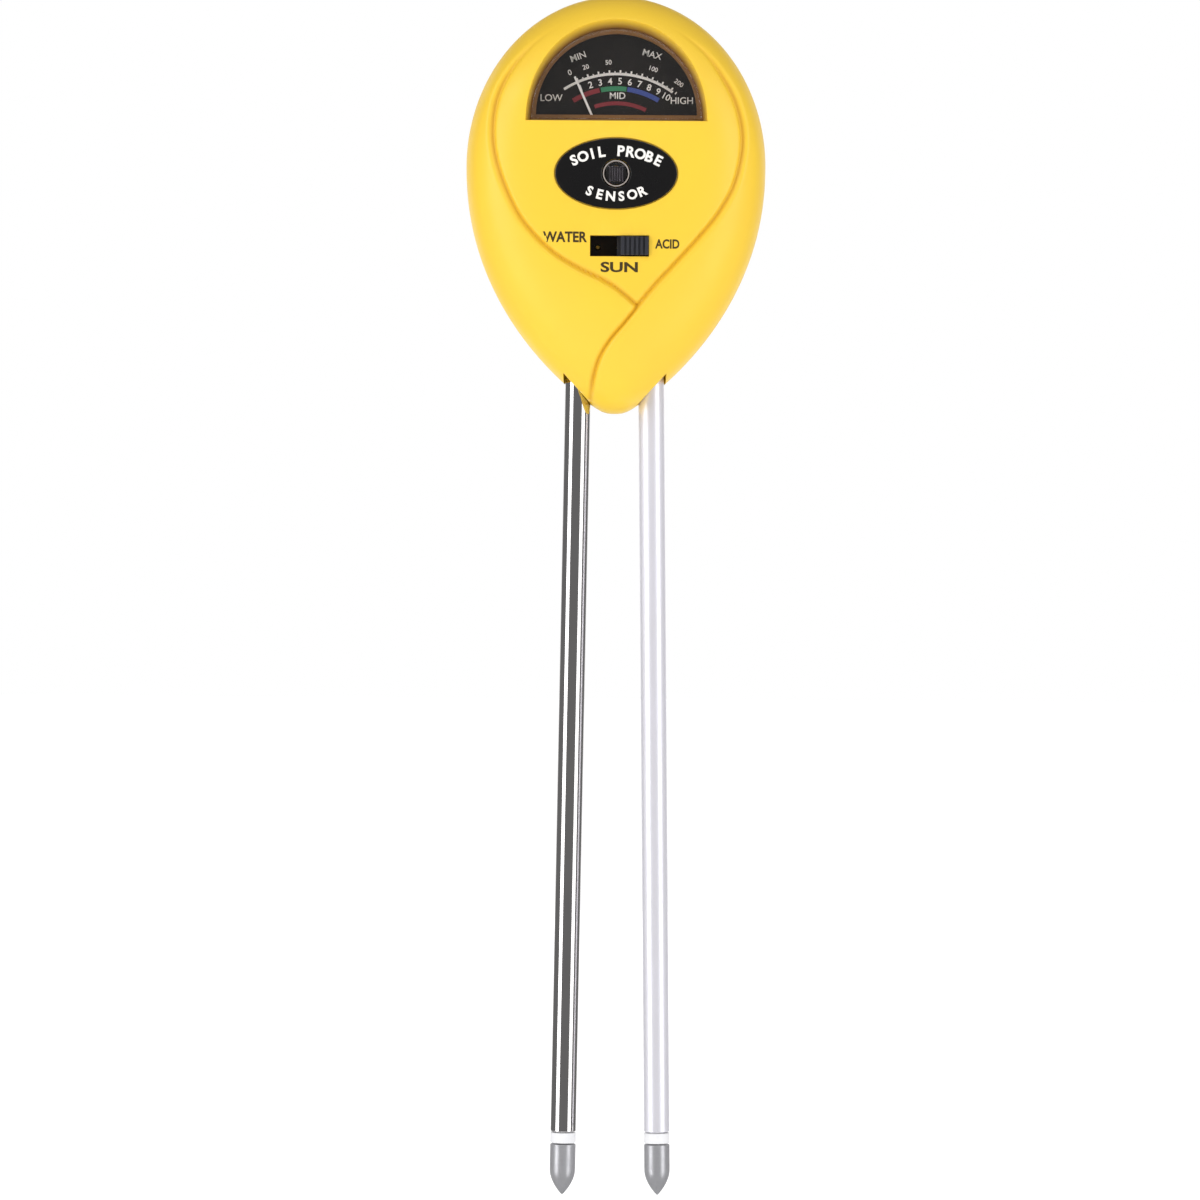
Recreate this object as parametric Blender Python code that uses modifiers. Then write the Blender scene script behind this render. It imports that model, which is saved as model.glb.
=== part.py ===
"""Soil moisture meter with two probes, a moving-coil movement, a slide switch and a light cell.

Metres, +Z up, the dial faces -Y. The origin is midway between the two probe tips.
The head is two moulded covers that part on the plane y = 0.
"""

import math

import bmesh
import bpy
from mathutils import Matrix, Vector

# Head outline: half an ellipse above the widest point, a tapering curve below it.
HEAD_HALF_WIDTH = 0.0350
WIDEST_HEIGHT = 0.2403
CROWN_HEIGHT = 0.0398
TONGUE_DROP = 0.0578
TAPER_ACROSS = 1.35
TAPER_DOWN = 2.08
FRONT_DEPTH = 0.0170
FLAT_ALLOWANCE = 0.0003
FRONT_FULLNESS = 5.0
REAR_FULLNESS = 4.0
DOME_POWER = 2.2
WALL = 0.0020
SEAM_GAP = 0.0003
OUTLINE_SIDES = 48
DOME_RINGS = 16

# Clearances.
GAP = 0.0003
SCREW_CLEARANCE = 0.0003
OVERLAP = 0.0010
CUT_BEYOND = 0.0040
# Faces that would otherwise lie in one plane are set this far apart.
FACE_STEP = 0.0001

# Probes. Heights that belong to the head are given from its widest point.
PROBE_RADIUS = 0.0030
PROBE_WALL = 0.0006
PROBE_HALF_SPACING = 0.01114
PROBE_SPLAY = math.radians(0.782)
PROBE_TOP_BELOW_WIDEST = 0.0335
TIP_HEIGHT = 0.0119
TIP_POINT_HEIGHT = 0.0060
TIP_POINT_STEPS = 5
TIP_FULLNESS = 0.85
RING_HEIGHT = 0.0024
RING_SPIGOT_HEIGHT = 0.0060
STEM_RADIUS = 0.0010
STEM_HEIGHT = 0.0085
TERMINAL_HEIGHT = 0.0014
TERMINAL_WIDTH = 0.0011
PROBE_HOLE_DEPTH = 0.0200
WIRE_RADIUS = 0.00035
TIP_WIRE_SPACING = 0.0300

# Dial window: a D lying on its flat side, with a lens and a recess that flares out to the rim.
LENS_HALF_WIDTH = 0.0197
LENS_BASE_ABOVE_WIDEST = 0.0104
LENS_CROWN_ABOVE_WIDEST = 0.0312
LENS_RECESS = 0.0066
LENS_THICKNESS = 0.0012
RIM_FLARE_SIDE = 0.0016
RIM_FLARE_BASE = 0.00116
RIM_FLARE_CROWN = 0.0045
LEDGE_WIDTH = 0.0010
LEDGE_THICKNESS = 0.0007
WINDOW_WALL = 0.0022
D_SIDES = 24

# Movement. Its pivot axis runs parallel to Y.
PIVOT_BELOW_WIDEST = 0.0013
POINTER_REST = math.radians(-24.2)
POINTER_LENGTH = 0.02375
POINTER_WIDTH = 0.0005
POINTER_THICKNESS = 0.0004
POINTER_TAIL = 0.0050
POINTER_WEIGHT_RADIUS = 0.0009
POINTER_TO_DIAL = 0.0005
CRANK_BELOW_DIAL = 0.0013
HUB_THICKNESS = 0.0008
HUB_RADIUS = 0.0015
HUB_BEHIND_FRAME = 0.0006
DIAL_THICKNESS = 0.0006
DIAL_MARGIN = 0.0010
DIAL_TO_FRAME = 0.0004
DIAL_EAR_X = 0.0130
DIAL_EAR_DROP = 0.0060
DIAL_EAR_WIDTH = 0.0040
DIAL_SCREW_ABOVE_EAR = 0.0022
DIAL_LUG_BELOW_DIAL = 0.0020
CORE_RADIUS = 0.0057
CORE_LENGTH = 0.0054
COIL_GAP = 0.0006
COIL_WINDING = 0.0009
COIL_WIDTH = 0.0032
COIL_END_GAP = 0.0010
COIL_BEHIND_HUB = 0.0008
YOKE_WALL = 0.0026
STRIP_WIDTH = 0.0040
STRIP_THICKNESS = 0.0004
STAFF_RADIUS = 0.0005
COIL_ROUNDING = 0.0002
STAFF_BEYOND_COIL = 0.0014
STAFF_CONE = 0.0006
TIP_IN_CUP = 0.0004
CUP_PROUD = 0.0003
FRAME_BAR = 0.0012
FRAME_HEIGHT = 0.0056
FRAME_PILLAR = 0.0030
FRAME_EAR_X = 0.0170
FRAME_EAR_BEYOND = 0.0026
FRAME_EAR_INSET = 0.0002
JEWEL_RADIUS = 0.0012
JEWEL_LENGTH = 0.0027
JEWEL_CUP_RADIUS = 0.0006
JEWEL_CUP_DEPTH = 0.0008
JEWEL_SLOT = 0.0004
MOVEMENT_TO_REAR_COVER = 0.0023
SPRING_TURNS = 3
SPRING_STEPS_PER_TURN = 10
SPRING_INNER = 0.0011
SPRING_OUTER = 0.0034
SPRING_WIRE = 0.00012

# Sensor badge.
BADGE_BELOW_WIDEST = 0.0028
BADGE_HALF_WIDTH = 0.01405
BADGE_HALF_HEIGHT = 0.0081
BADGE_THICKNESS = 0.0006
BADGE_PROUD = 0.0003
BEZEL_RADIUS = 0.00305
BEZEL_WALL = 0.00027
CELL_HALF = 0.00175
CELL_RECESS = 0.0008
CELL_DEPTH = 0.0016
SENSOR_WINDOW_RECESS = 0.0002

# Slide switch.
SWITCH_X = 0.00089
SWITCH_BELOW_WIDEST = 0.0195
KNOB_HALF_LENGTH = 0.0032
KNOB_HALF_HEIGHT = 0.00213
KNOB_PROUD = 0.0008
KNOB_TRAVEL = 0.0070
KNOB_END_GAP = 0.0001
KNOB_RIBS = 5
KNOB_GROOVE = 0.00045
CARRIAGE_HALF_LENGTH = 0.0041
CARRIAGE_HALF_HEIGHT = 0.0027
CARRIAGE_THICKNESS = 0.0013
KNOB_REAR_STEP = 0.0003
BRIDGE_END_INSET = 0.0006
BRIDGE_SIDE_INSET = 0.0008
BRIDGE_THICKNESS = 0.0003
BRIDGE_STEPS = 8
SHELL_BEHIND_COVER = 0.0004
SHELL_DEPTH = 0.0048
SHELL_WALL = 0.0005
SHELL_EAR = 0.0024
SHELL_EAR_INSET = 0.0003
BASE_THICKNESS = 0.0012
BASE_INSET = 0.0002
PIN_RADIUS = 0.0004
PIN_PITCH = 0.0050
PIN_BEHIND_BOARD = 0.0005

# Circuit board.
BOARD_HALF_WIDTH = 0.0140
BOARD_HEIGHT = 0.0195
BOARD_LOW_BELOW_WIDEST = 0.0323
BOARD_THICKNESS = 0.0012
BOARD_STANDOFF = 0.0012
BOARD_SCREW_INSET = 0.0025
RESISTOR_RADIUS = 0.0011
RESISTOR_LENGTH = 0.0062
RESISTOR_SPAN = 0.0100
RESISTOR_BEHIND_BOARD = 0.0012
RESISTOR_LEAD_RADIUS = 0.0003
RESISTOR_LEG_RADIUS = 0.00032
RESISTOR_HEIGHTS = (0.0100, 0.0165)

# Screws, given as head radius, head height, shank radius and shank length.
SMALL_SCREW = (0.0018, 0.0010, 0.0008, 0.0048)
DIAL_SCREW = (0.0015, 0.0008, 0.0008, 0.0022)
CASE_SCREW = (0.0026, 0.0018, 0.0012, 0.0140)
CASE_SCREW_SEAT = 0.0060
CASE_SCREW_FROM_SIDE = 0.0080
CASE_SCREW_SIDE_ABOVE_WIDEST = 0.0057
CASE_SCREW_LOW_BELOW_WIDEST = 0.0433
CASE_BOSS_RADIUS = 0.0030
SMALL_BOSS_RADIUS = 0.0023

# Ribs that cradle the probes.
RIBS_BELOW_WIDEST = (0.0500, 0.0368)
RIB_THICKNESS = 0.0016
# Ribs, bosses and frames reach this share of the wall into it.
INTO_WALL = 0.45
REAR_BOSS_WALL = 0.6

SIDES = (("left", -1), ("right", 1))
FACING_FRONT = (math.pi / 2, 0, 0)
FACING_REAR = (-math.pi / 2, 0, 0)

# Heights that follow from the sizes above.
PROBE_TOP = WIDEST_HEIGHT - PROBE_TOP_BELOW_WIDEST
RIB_HEIGHTS = [WIDEST_HEIGHT - below for below in RIBS_BELOW_WIDEST]
LENS_BASE = WIDEST_HEIGHT + LENS_BASE_ABOVE_WIDEST
LENS_CROWN = WIDEST_HEIGHT + LENS_CROWN_ABOVE_WIDEST
PIVOT_HEIGHT = WIDEST_HEIGHT - PIVOT_BELOW_WIDEST
DIAL_BASE = LENS_BASE - DIAL_MARGIN
POINTER_CRANK_RADIUS = DIAL_BASE - PIVOT_HEIGHT - CRANK_BELOW_DIAL
DIAL_SCREW_HEIGHT = DIAL_BASE - DIAL_EAR_DROP + DIAL_SCREW_ABOVE_EAR
BADGE_HEIGHT = WIDEST_HEIGHT - BADGE_BELOW_WIDEST
SWITCH_HEIGHT = WIDEST_HEIGHT - SWITCH_BELOW_WIDEST
BOARD_LOW = WIDEST_HEIGHT - BOARD_LOW_BELOW_WIDEST
BOARD_HIGH = BOARD_LOW + BOARD_HEIGHT

# Depths, from the front of the head back.
INNER_FRONT = -FRONT_DEPTH + WALL
BADGE_FRONT = -FRONT_DEPTH - BADGE_PROUD
BADGE_REAR = BADGE_FRONT + BADGE_THICKNESS
CELL_FRONT = -FRONT_DEPTH + CELL_RECESS
CELL_REAR = CELL_FRONT + CELL_DEPTH
LENS_FRONT = -FRONT_DEPTH + LENS_RECESS
LENS_REAR = LENS_FRONT + LENS_THICKNESS
LEDGE_FRONT = LENS_REAR + GAP
LEDGE_REAR = LEDGE_FRONT + LEDGE_THICKNESS
POINTER_FRONT = LEDGE_REAR + GAP
DIAL_FRONT = POINTER_FRONT + POINTER_THICKNESS + POINTER_TO_DIAL
DIAL_REAR = DIAL_FRONT + DIAL_THICKNESS
FRAME_FRONT = DIAL_REAR + DIAL_TO_FRAME
FRAME_BAR_REAR = FRAME_FRONT + FRAME_BAR
FRONT_CUP = FRAME_BAR_REAR + CUP_PROUD
HUB_FRONT = FRAME_BAR_REAR + HUB_BEHIND_FRAME
HUB_REAR = HUB_FRONT + HUB_THICKNESS
COIL_FRONT = HUB_REAR + COIL_BEHIND_HUB
CORE_FRONT = COIL_FRONT + COIL_WINDING + COIL_END_GAP
CORE_REAR = CORE_FRONT + CORE_LENGTH
COIL_REAR = CORE_REAR + COIL_END_GAP + COIL_WINDING
REAR_CUP = COIL_REAR + STAFF_BEYOND_COIL
FRAME_REAR = REAR_CUP + CUP_PROUD + FRAME_BAR
REAR_DEPTH = REAR_CUP + JEWEL_LENGTH + MOVEMENT_TO_REAR_COVER + WALL

# The switch, from the front cover back to the circuit board.
KNOB_FRONT = -FRONT_DEPTH - KNOB_PROUD
KNOB_REST_X = SWITCH_X + KNOB_TRAVEL / 2
SLOT_HALF_LENGTH = KNOB_TRAVEL / 2 + KNOB_HALF_LENGTH + KNOB_END_GAP
SLOT_HALF_HEIGHT = KNOB_HALF_HEIGHT + GAP
SHELL_FRONT = INNER_FRONT + SHELL_BEHIND_COVER
SHELL_REAR = SHELL_FRONT + SHELL_DEPTH
CARRIAGE_FRONT = SHELL_FRONT + SHELL_WALL + GAP
CARRIAGE_REAR = CARRIAGE_FRONT + CARRIAGE_THICKNESS
SHELL_HALF_LENGTH = KNOB_TRAVEL / 2 + CARRIAGE_HALF_LENGTH + GAP + SHELL_WALL
SHELL_HALF_HEIGHT = CARRIAGE_HALF_HEIGHT + GAP + SHELL_WALL
BASE_REAR = SHELL_REAR - BASE_INSET
BASE_FRONT = BASE_REAR - BASE_THICKNESS
BOARD_FRONT = SHELL_REAR + BOARD_STANDOFF
BOARD_REAR = BOARD_FRONT + BOARD_THICKNESS
PIN_HOLE_RADIUS = PIN_RADIUS + GAP

# Radii and half widths.
SENSOR_HOLE_RADIUS = BEZEL_RADIUS + GAP
COIL_INNER_RADIUS = CORE_RADIUS + COIL_GAP
COIL_OUTER_RADIUS = COIL_INNER_RADIUS + COIL_WINDING
YOKE_INNER_RADIUS = math.hypot(COIL_OUTER_RADIUS, COIL_WIDTH / 2) + COIL_GAP
YOKE_OUTER_RADIUS = YOKE_INNER_RADIUS + YOKE_WALL
PILLAR_INNER_X = YOKE_OUTER_RADIUS + GAP
PILLAR_OUTER_X = PILLAR_INNER_X + FRAME_PILLAR
BOARD_SCREW_X = BOARD_HALF_WIDTH - BOARD_SCREW_INSET
BOARD_SCREW_HEIGHT = BOARD_LOW + BOARD_SCREW_INSET
BOSS_SEAM = SEAM_GAP / 2
CASE_SCREW_SIDE_X = HEAD_HALF_WIDTH - CASE_SCREW_FROM_SIDE
CASE_SCREWS = {
    "left": (-CASE_SCREW_SIDE_X, WIDEST_HEIGHT + CASE_SCREW_SIDE_ABOVE_WIDEST),
    "right": (CASE_SCREW_SIDE_X, WIDEST_HEIGHT + CASE_SCREW_SIDE_ABOVE_WIDEST),
    "low": (0, WIDEST_HEIGHT - CASE_SCREW_LOW_BELOW_WIDEST),
}


# Scene set-up and helpers.
def new_collection(name):
    collection = bpy.data.collections.new(name)
    bpy.context.scene.collection.children.link(collection)
    return collection


for old in list(bpy.data.objects):
    bpy.data.objects.remove(old)
PARTS = new_collection("soil_moisture_meter")
CUTTERS = new_collection("cutters")


def finish(name, colour, roughness, metallic=0.0, transmission=0.0):
    """A Principled BSDF with the given linear colour."""
    made = bpy.data.materials.new(name)
    made.use_nodes = True
    shader = made.node_tree.nodes["Principled BSDF"]
    shader.inputs["Base Color"].default_value = (*colour, 1)
    shader.inputs["Roughness"].default_value = roughness
    shader.inputs["Metallic"].default_value = metallic
    shader.inputs["Transmission Weight"].default_value = transmission
    return made


def place(name, mesh, made_of=None, where=(0, 0, 0), turned_to=(0, 0, 0), parent=None):
    """An object of the model, or, with no material, a tool for a Boolean."""
    thing = bpy.data.objects.new(name, mesh)
    thing.location = where
    thing.rotation_euler = turned_to
    thing.parent = parent
    if made_of is None:
        CUTTERS.objects.link(thing)
        thing.hide_render = True
        thing.display_type = "WIRE"
    else:
        PARTS.objects.link(thing)
        if not mesh.materials:
            mesh.materials.append(made_of)
    return thing


def axis_empty(name, where, turn_about_y):
    """An empty that marks an axis and carries the pieces that turn or lean with it."""
    empty = bpy.data.objects.new(name, None)
    PARTS.objects.link(empty)
    empty.location = where
    empty.rotation_euler = (0, turn_about_y, 0)
    empty.empty_display_size = 0.005
    return empty


def mesh_from(bm, name, smooth=True):
    mesh = bpy.data.meshes.new(name)
    bm.to_mesh(mesh)
    bm.free()
    if smooth:
        mesh.shade_smooth()
        mesh.set_sharp_from_angle(angle=math.radians(35))
    return mesh


def block(name, low, high):
    """A box between two corners."""
    bm = bmesh.new()
    size = Vector(high) - Vector(low)
    middle = (Vector(high) + Vector(low)) / 2
    bmesh.ops.create_cube(bm, size=1, matrix=Matrix.Translation(middle) @ Matrix.Diagonal((*size, 1)))
    return mesh_from(bm, name, smooth=False)


def bar(name, radius, start, end, sides=20):
    """A cylinder between two points."""
    bm = bmesh.new()
    start, end = Vector(start), Vector(end)
    along = end - start
    turn = along.to_track_quat("Z", "Y").to_matrix().to_4x4()
    bmesh.ops.create_cone(
        bm, cap_ends=True, segments=sides, radius1=radius, radius2=radius, depth=along.length,
        matrix=Matrix.Translation((start + end) / 2) @ turn,
    )
    return mesh_from(bm, name)


def disc_y(name, radius, centre, front, rear, sides=20):
    """A cylinder along Y, centred on (x, z)."""
    return bar(name, radius, (centre[0], rear, centre[1]), (centre[0], front, centre[1]), sides)


def turned(name, profile, steps=20):
    """A solid of revolution about local Z, from (radius, height) points given from the top down."""
    bm = bmesh.new()
    rim = [bm.verts.new((radius, 0, height)) for radius, height in profile]
    for upper, lower in zip(rim, rim[1:]):
        bm.edges.new((upper, lower))
    guide = bpy.data.objects.new(name, mesh_from(bm, name, smooth=False))
    CUTTERS.objects.link(guide)
    screw = guide.modifiers.new("turn", "SCREW")
    screw.steps = screw.render_steps = steps
    screw.use_merge_vertices = True
    screw.merge_threshold = 0.000005
    return evaluated_mesh(guide)


def evaluated_mesh(thing):
    """The object's mesh as its modifiers leave it, closed and smooth. The object is removed."""
    bpy.context.view_layer.update()
    graph = bpy.context.evaluated_depsgraph_get()
    mesh = bpy.data.meshes.new_from_object(thing.evaluated_get(graph))
    name = thing.name
    bpy.data.objects.remove(thing)
    bm = bmesh.new()
    bm.from_mesh(mesh)
    bmesh.ops.remove_doubles(bm, verts=bm.verts, dist=0.000001)
    return mesh_from(bm, name)


def outline_plate(name, outline, thickness, holes=()):
    """A flat plate in local XY, centred on local Z, from an outline and the outlines of its holes."""
    curve = bpy.data.curves.new(name, "CURVE")
    curve.dimensions = "2D"
    curve.fill_mode = "BOTH"
    curve.extrude = thickness / 2
    for points in (outline, *holes):
        spline = curve.splines.new("POLY")
        spline.points.add(len(points) - 1)
        spline.use_cyclic_u = True
        for point, (x, y) in zip(spline.points, points):
            point.co = (x, y, 0, 1)
    guide = bpy.data.objects.new(name, curve)
    CUTTERS.objects.link(guide)
    return evaluated_mesh(guide)


def facing_plate(name, outline, front, rear, made_of=None, holes=(), parent=None):
    """A plate that faces the front: its outline is in (x, height), between two depths."""
    mesh = outline_plate(name, outline, rear - front, holes)
    return place(name, mesh, made_of, (0, (front + rear) / 2, 0), FACING_FRONT, parent)


def ellipse(centre, half_width, half_height, sides=40):
    turns = [math.tau * i / sides for i in range(sides)]
    x, z = centre
    return [(x + half_width * math.cos(turn), z + half_height * math.sin(turn)) for turn in turns]


def circle(centre, radius, sides=16):
    return ellipse(centre, radius, radius, sides)


def d_outline(half_width, base, crown, sides=D_SIDES):
    """A D lying on its flat side: half an ellipse over a straight base."""
    turns = [math.pi * i / sides for i in range(sides + 1)]
    height = crown - base
    return [(half_width * math.cos(turn), base + height * math.sin(turn)) for turn in turns]


def d_grown(by, half_width=LENS_HALF_WIDTH, base=LENS_BASE, crown=LENS_CROWN):
    return d_outline(half_width + by, base - by, crown + by)


def loft(name, sections):
    """A closed solid through outlines of the same number of points, each at its own depth."""
    bm = bmesh.new()
    rings = [[bm.verts.new((x, depth, z)) for x, z in outline] for depth, outline in sections]
    count = len(rings[0])
    bm.faces.new(rings[0])
    bm.faces.new(reversed(rings[-1]))
    for near, far in zip(rings, rings[1:]):
        for i in range(count):
            j = (i + 1) % count
            bm.faces.new((near[i], far[i], far[j], near[j]))
    bmesh.ops.recalc_face_normals(bm, faces=bm.faces)
    return mesh_from(bm, name, smooth=False)


def curve_point(a, b, c, d, share):
    """The point at a share of the way from b to c on the Catmull-Rom curve through four points."""
    slope = (c - a) * share
    bend = (2 * a - 5 * b + 4 * c - d) * share**2
    twist = (3 * b - a - 3 * c + d) * share**3
    return (2 * b + slope + bend + twist) / 2


def smooth_route(points, per_span=4):
    """Points on a Catmull-Rom curve through the route."""
    places = [Vector(p) for p in points]
    padded = [2 * places[0] - places[1], *places, 2 * places[-1] - places[-2]]
    route = []
    for four in zip(padded, padded[1:], padded[2:], padded[3:]):
        route += [curve_point(*four, i / per_span) for i in range(per_span)]
    return [*route, places[-1]]


def wire(name, points, radius, made_of, sides_level=2, parent=None):
    """A round wire along a route, with closed ends."""
    curve = bpy.data.curves.new(name, "CURVE")
    curve.dimensions = "3D"
    curve.bevel_depth = radius
    curve.bevel_resolution = sides_level
    curve.use_fill_caps = True
    spline = curve.splines.new("POLY")
    spline.points.add(len(points) - 1)
    for point, where in zip(spline.points, points):
        point.co = (*where, 1)
    curve.materials.append(made_of)
    thing = bpy.data.objects.new(name, curve)
    PARTS.objects.link(thing)
    thing.parent = parent
    return thing


def boolean(target, tool, operation):
    modifier = target.modifiers.new(tool.name, "BOOLEAN")
    modifier.operation = operation
    modifier.object = tool
    modifier.solver = "EXACT"


def cut(target, *tools):
    for tool in tools:
        boolean(target, tool, "DIFFERENCE")


def join(target, *tools):
    for tool in tools:
        boolean(target, tool, "UNION")


def tool_disc(name, radius, centre, front, rear, sides=16):
    return place(name, disc_y(name, radius, centre, front, rear, sides))


def tool_block(name, low, high, parent=None):
    return place(name, block(name, low, high), parent=parent)


def screw_mesh(name, size):
    """A pan-head screw: local +Z leaves the head, the head's underside is at z = 0."""
    head_radius, head_height, shank_radius, length = size
    chamfer = head_height / 4
    profile = [
        (0, head_height), (head_radius - chamfer, head_height), (head_radius, head_height - chamfer),
        (head_radius, 0), (shank_radius, 0), (shank_radius, shank_radius - length), (0, -length),
    ]
    head = place(name, turned(name, profile, 14))
    slot = head_radius * 0.7
    for label, reach in (("slot", (slot, slot / 5)), ("cross", (slot / 5, slot))):
        low = (-reach[0], -reach[1], head_height * 0.45)
        high = (reach[0], reach[1], head_height + OVERLAP)
        cut(head, tool_block(name + "_" + label, low, high))
    return evaluated_mesh(head)


# Finishes.
YELLOW_ABS = finish("yellow_abs", (0.92, 0.64, 0.06), 0.38)
CLEAR_STYRENE = finish("clear_styrene", (0.95, 0.95, 0.95), 0.05, transmission=1.0)
BLACK_PRINT = finish("black_print", (0.012, 0.010, 0.009), 0.45)
BLACK_PLASTIC = finish("black_plastic", (0.02, 0.02, 0.02), 0.4)
WHITE_PAINT = finish("white_paint", (0.85, 0.85, 0.85), 0.5)
WHITE_PLASTIC = finish("white_plastic", (0.8, 0.8, 0.82), 0.45)
NICKEL = finish("nickel_plate", (0.55, 0.54, 0.5), 0.2, 1.0)
ALUMINIUM = finish("aluminium", (0.85, 0.85, 0.9), 0.3, 1.0)
ZINC = finish("zinc", (0.45, 0.45, 0.46), 0.4, 1.0)
STEEL = finish("steel", (0.5, 0.5, 0.5), 0.35, 1.0)
BRASS = finish("brass", (0.7, 0.5, 0.2), 0.3, 1.0)
COPPER = finish("copper_winding", (0.7, 0.3, 0.12), 0.35, 1.0)
FERRITE = finish("ferrite", (0.05, 0.05, 0.055), 0.6)
PHENOLIC = finish("phenolic", (0.25, 0.12, 0.05), 0.6)
GREEN_BOARD = finish("green_board", (0.02, 0.16, 0.05), 0.45)
SILICON = finish("silicon_cell", (0.03, 0.02, 0.03), 0.2)
RED_WIRE = finish("red_wire", (0.6, 0.03, 0.03), 0.45)
BLACK_WIRE = finish("black_wire", (0.02, 0.02, 0.02), 0.45)
TAN_CERAMIC = finish("tan_ceramic", (0.6, 0.42, 0.22), 0.5)


# Head surfaces.
def outline_point(angle):
    """Where the head's outline runs in this direction, as (x, height above the widest point)."""
    across, up = math.cos(angle), math.sin(angle)
    if up >= 0:
        return HEAD_HALF_WIDTH * across, CROWN_HEIGHT * up
    x = HEAD_HALF_WIDTH * math.copysign(abs(across) ** (2 / TAPER_ACROSS), across)
    return x, -TONGUE_DROP * abs(up) ** (2 / TAPER_DOWN)


def depth_at(share, depth):
    """The depth of a dome with a flat middle, where share falls from 1 at the middle to 0 at the seam."""
    return min(depth, (depth + FLAT_ALLOWANCE) * share ** (2 / DOME_POWER))


def pebble(name, inset=0.0, seam=0.0, keep=None):
    """The head as a mapped sphere. Keep "front" or "rear" leaves that half, open at the seam."""
    bm = bmesh.new()
    bmesh.ops.create_uvsphere(bm, u_segments=OUTLINE_SIDES, v_segments=DOME_RINGS, radius=1)
    if keep:
        sign = 1 if keep == "front" else -1
        gone = [v for v in bm.verts if v.co.z * sign < -0.0001]
        bmesh.ops.delete(bm, geom=gone, context="VERTS")
    shrink = 1 - inset / HEAD_HALF_WIDTH
    for vert in bm.verts:
        toward = max(-1.0, min(1.0, vert.co.z))
        front = keep == "front" or (keep is None and toward > 0)
        fullness, depth = (FRONT_FULLNESS, FRONT_DEPTH) if front else (REAR_FULLNESS, REAR_DEPTH)
        share = 0.0 if abs(toward) < 0.0001 else abs(toward)
        reach = shrink * (1 - share * share) ** (1 / fullness)
        x, up = outline_point(math.atan2(vert.co.y, vert.co.x))
        back = seam + depth_at(share, depth - seam - inset)
        vert.co = (x * reach, -back if front else back, WIDEST_HEIGHT + up * reach)
    return mesh_from(bm, name)


def inside_head(tool):
    """Trims a rib, boss or frame so that it ends inside the covers' walls."""
    boolean(tool, HEAD_CORE, "INTERSECT")
    return tool


HEAD_CORE = place("head_core", pebble("head_core", inset=WALL * INTO_WALL))


# Probes: each leans in by its splay, so its pieces hang on one empty at the tip.
def probe_point(side, height, y=0.0):
    """A point of the model on this probe's own axis, at a height above the tips."""
    return (side * (PROBE_HALF_SPACING - height * math.tan(PROBE_SPLAY)), y, height)


PROBE_AXES = {
    side: axis_empty(name + "_probe_axis", (side * PROBE_HALF_SPACING, 0, 0), -side * PROBE_SPLAY)
    for name, side in SIDES
}


def probe_clearance(name, side):
    start, end = (0, 0, RIB_HEIGHTS[0] - PROBE_HOLE_DEPTH), (0, 0, PROBE_TOP + GAP)
    return place(name, bar(name, PROBE_RADIUS + GAP, start, end), parent=PROBE_AXES[side])


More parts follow.
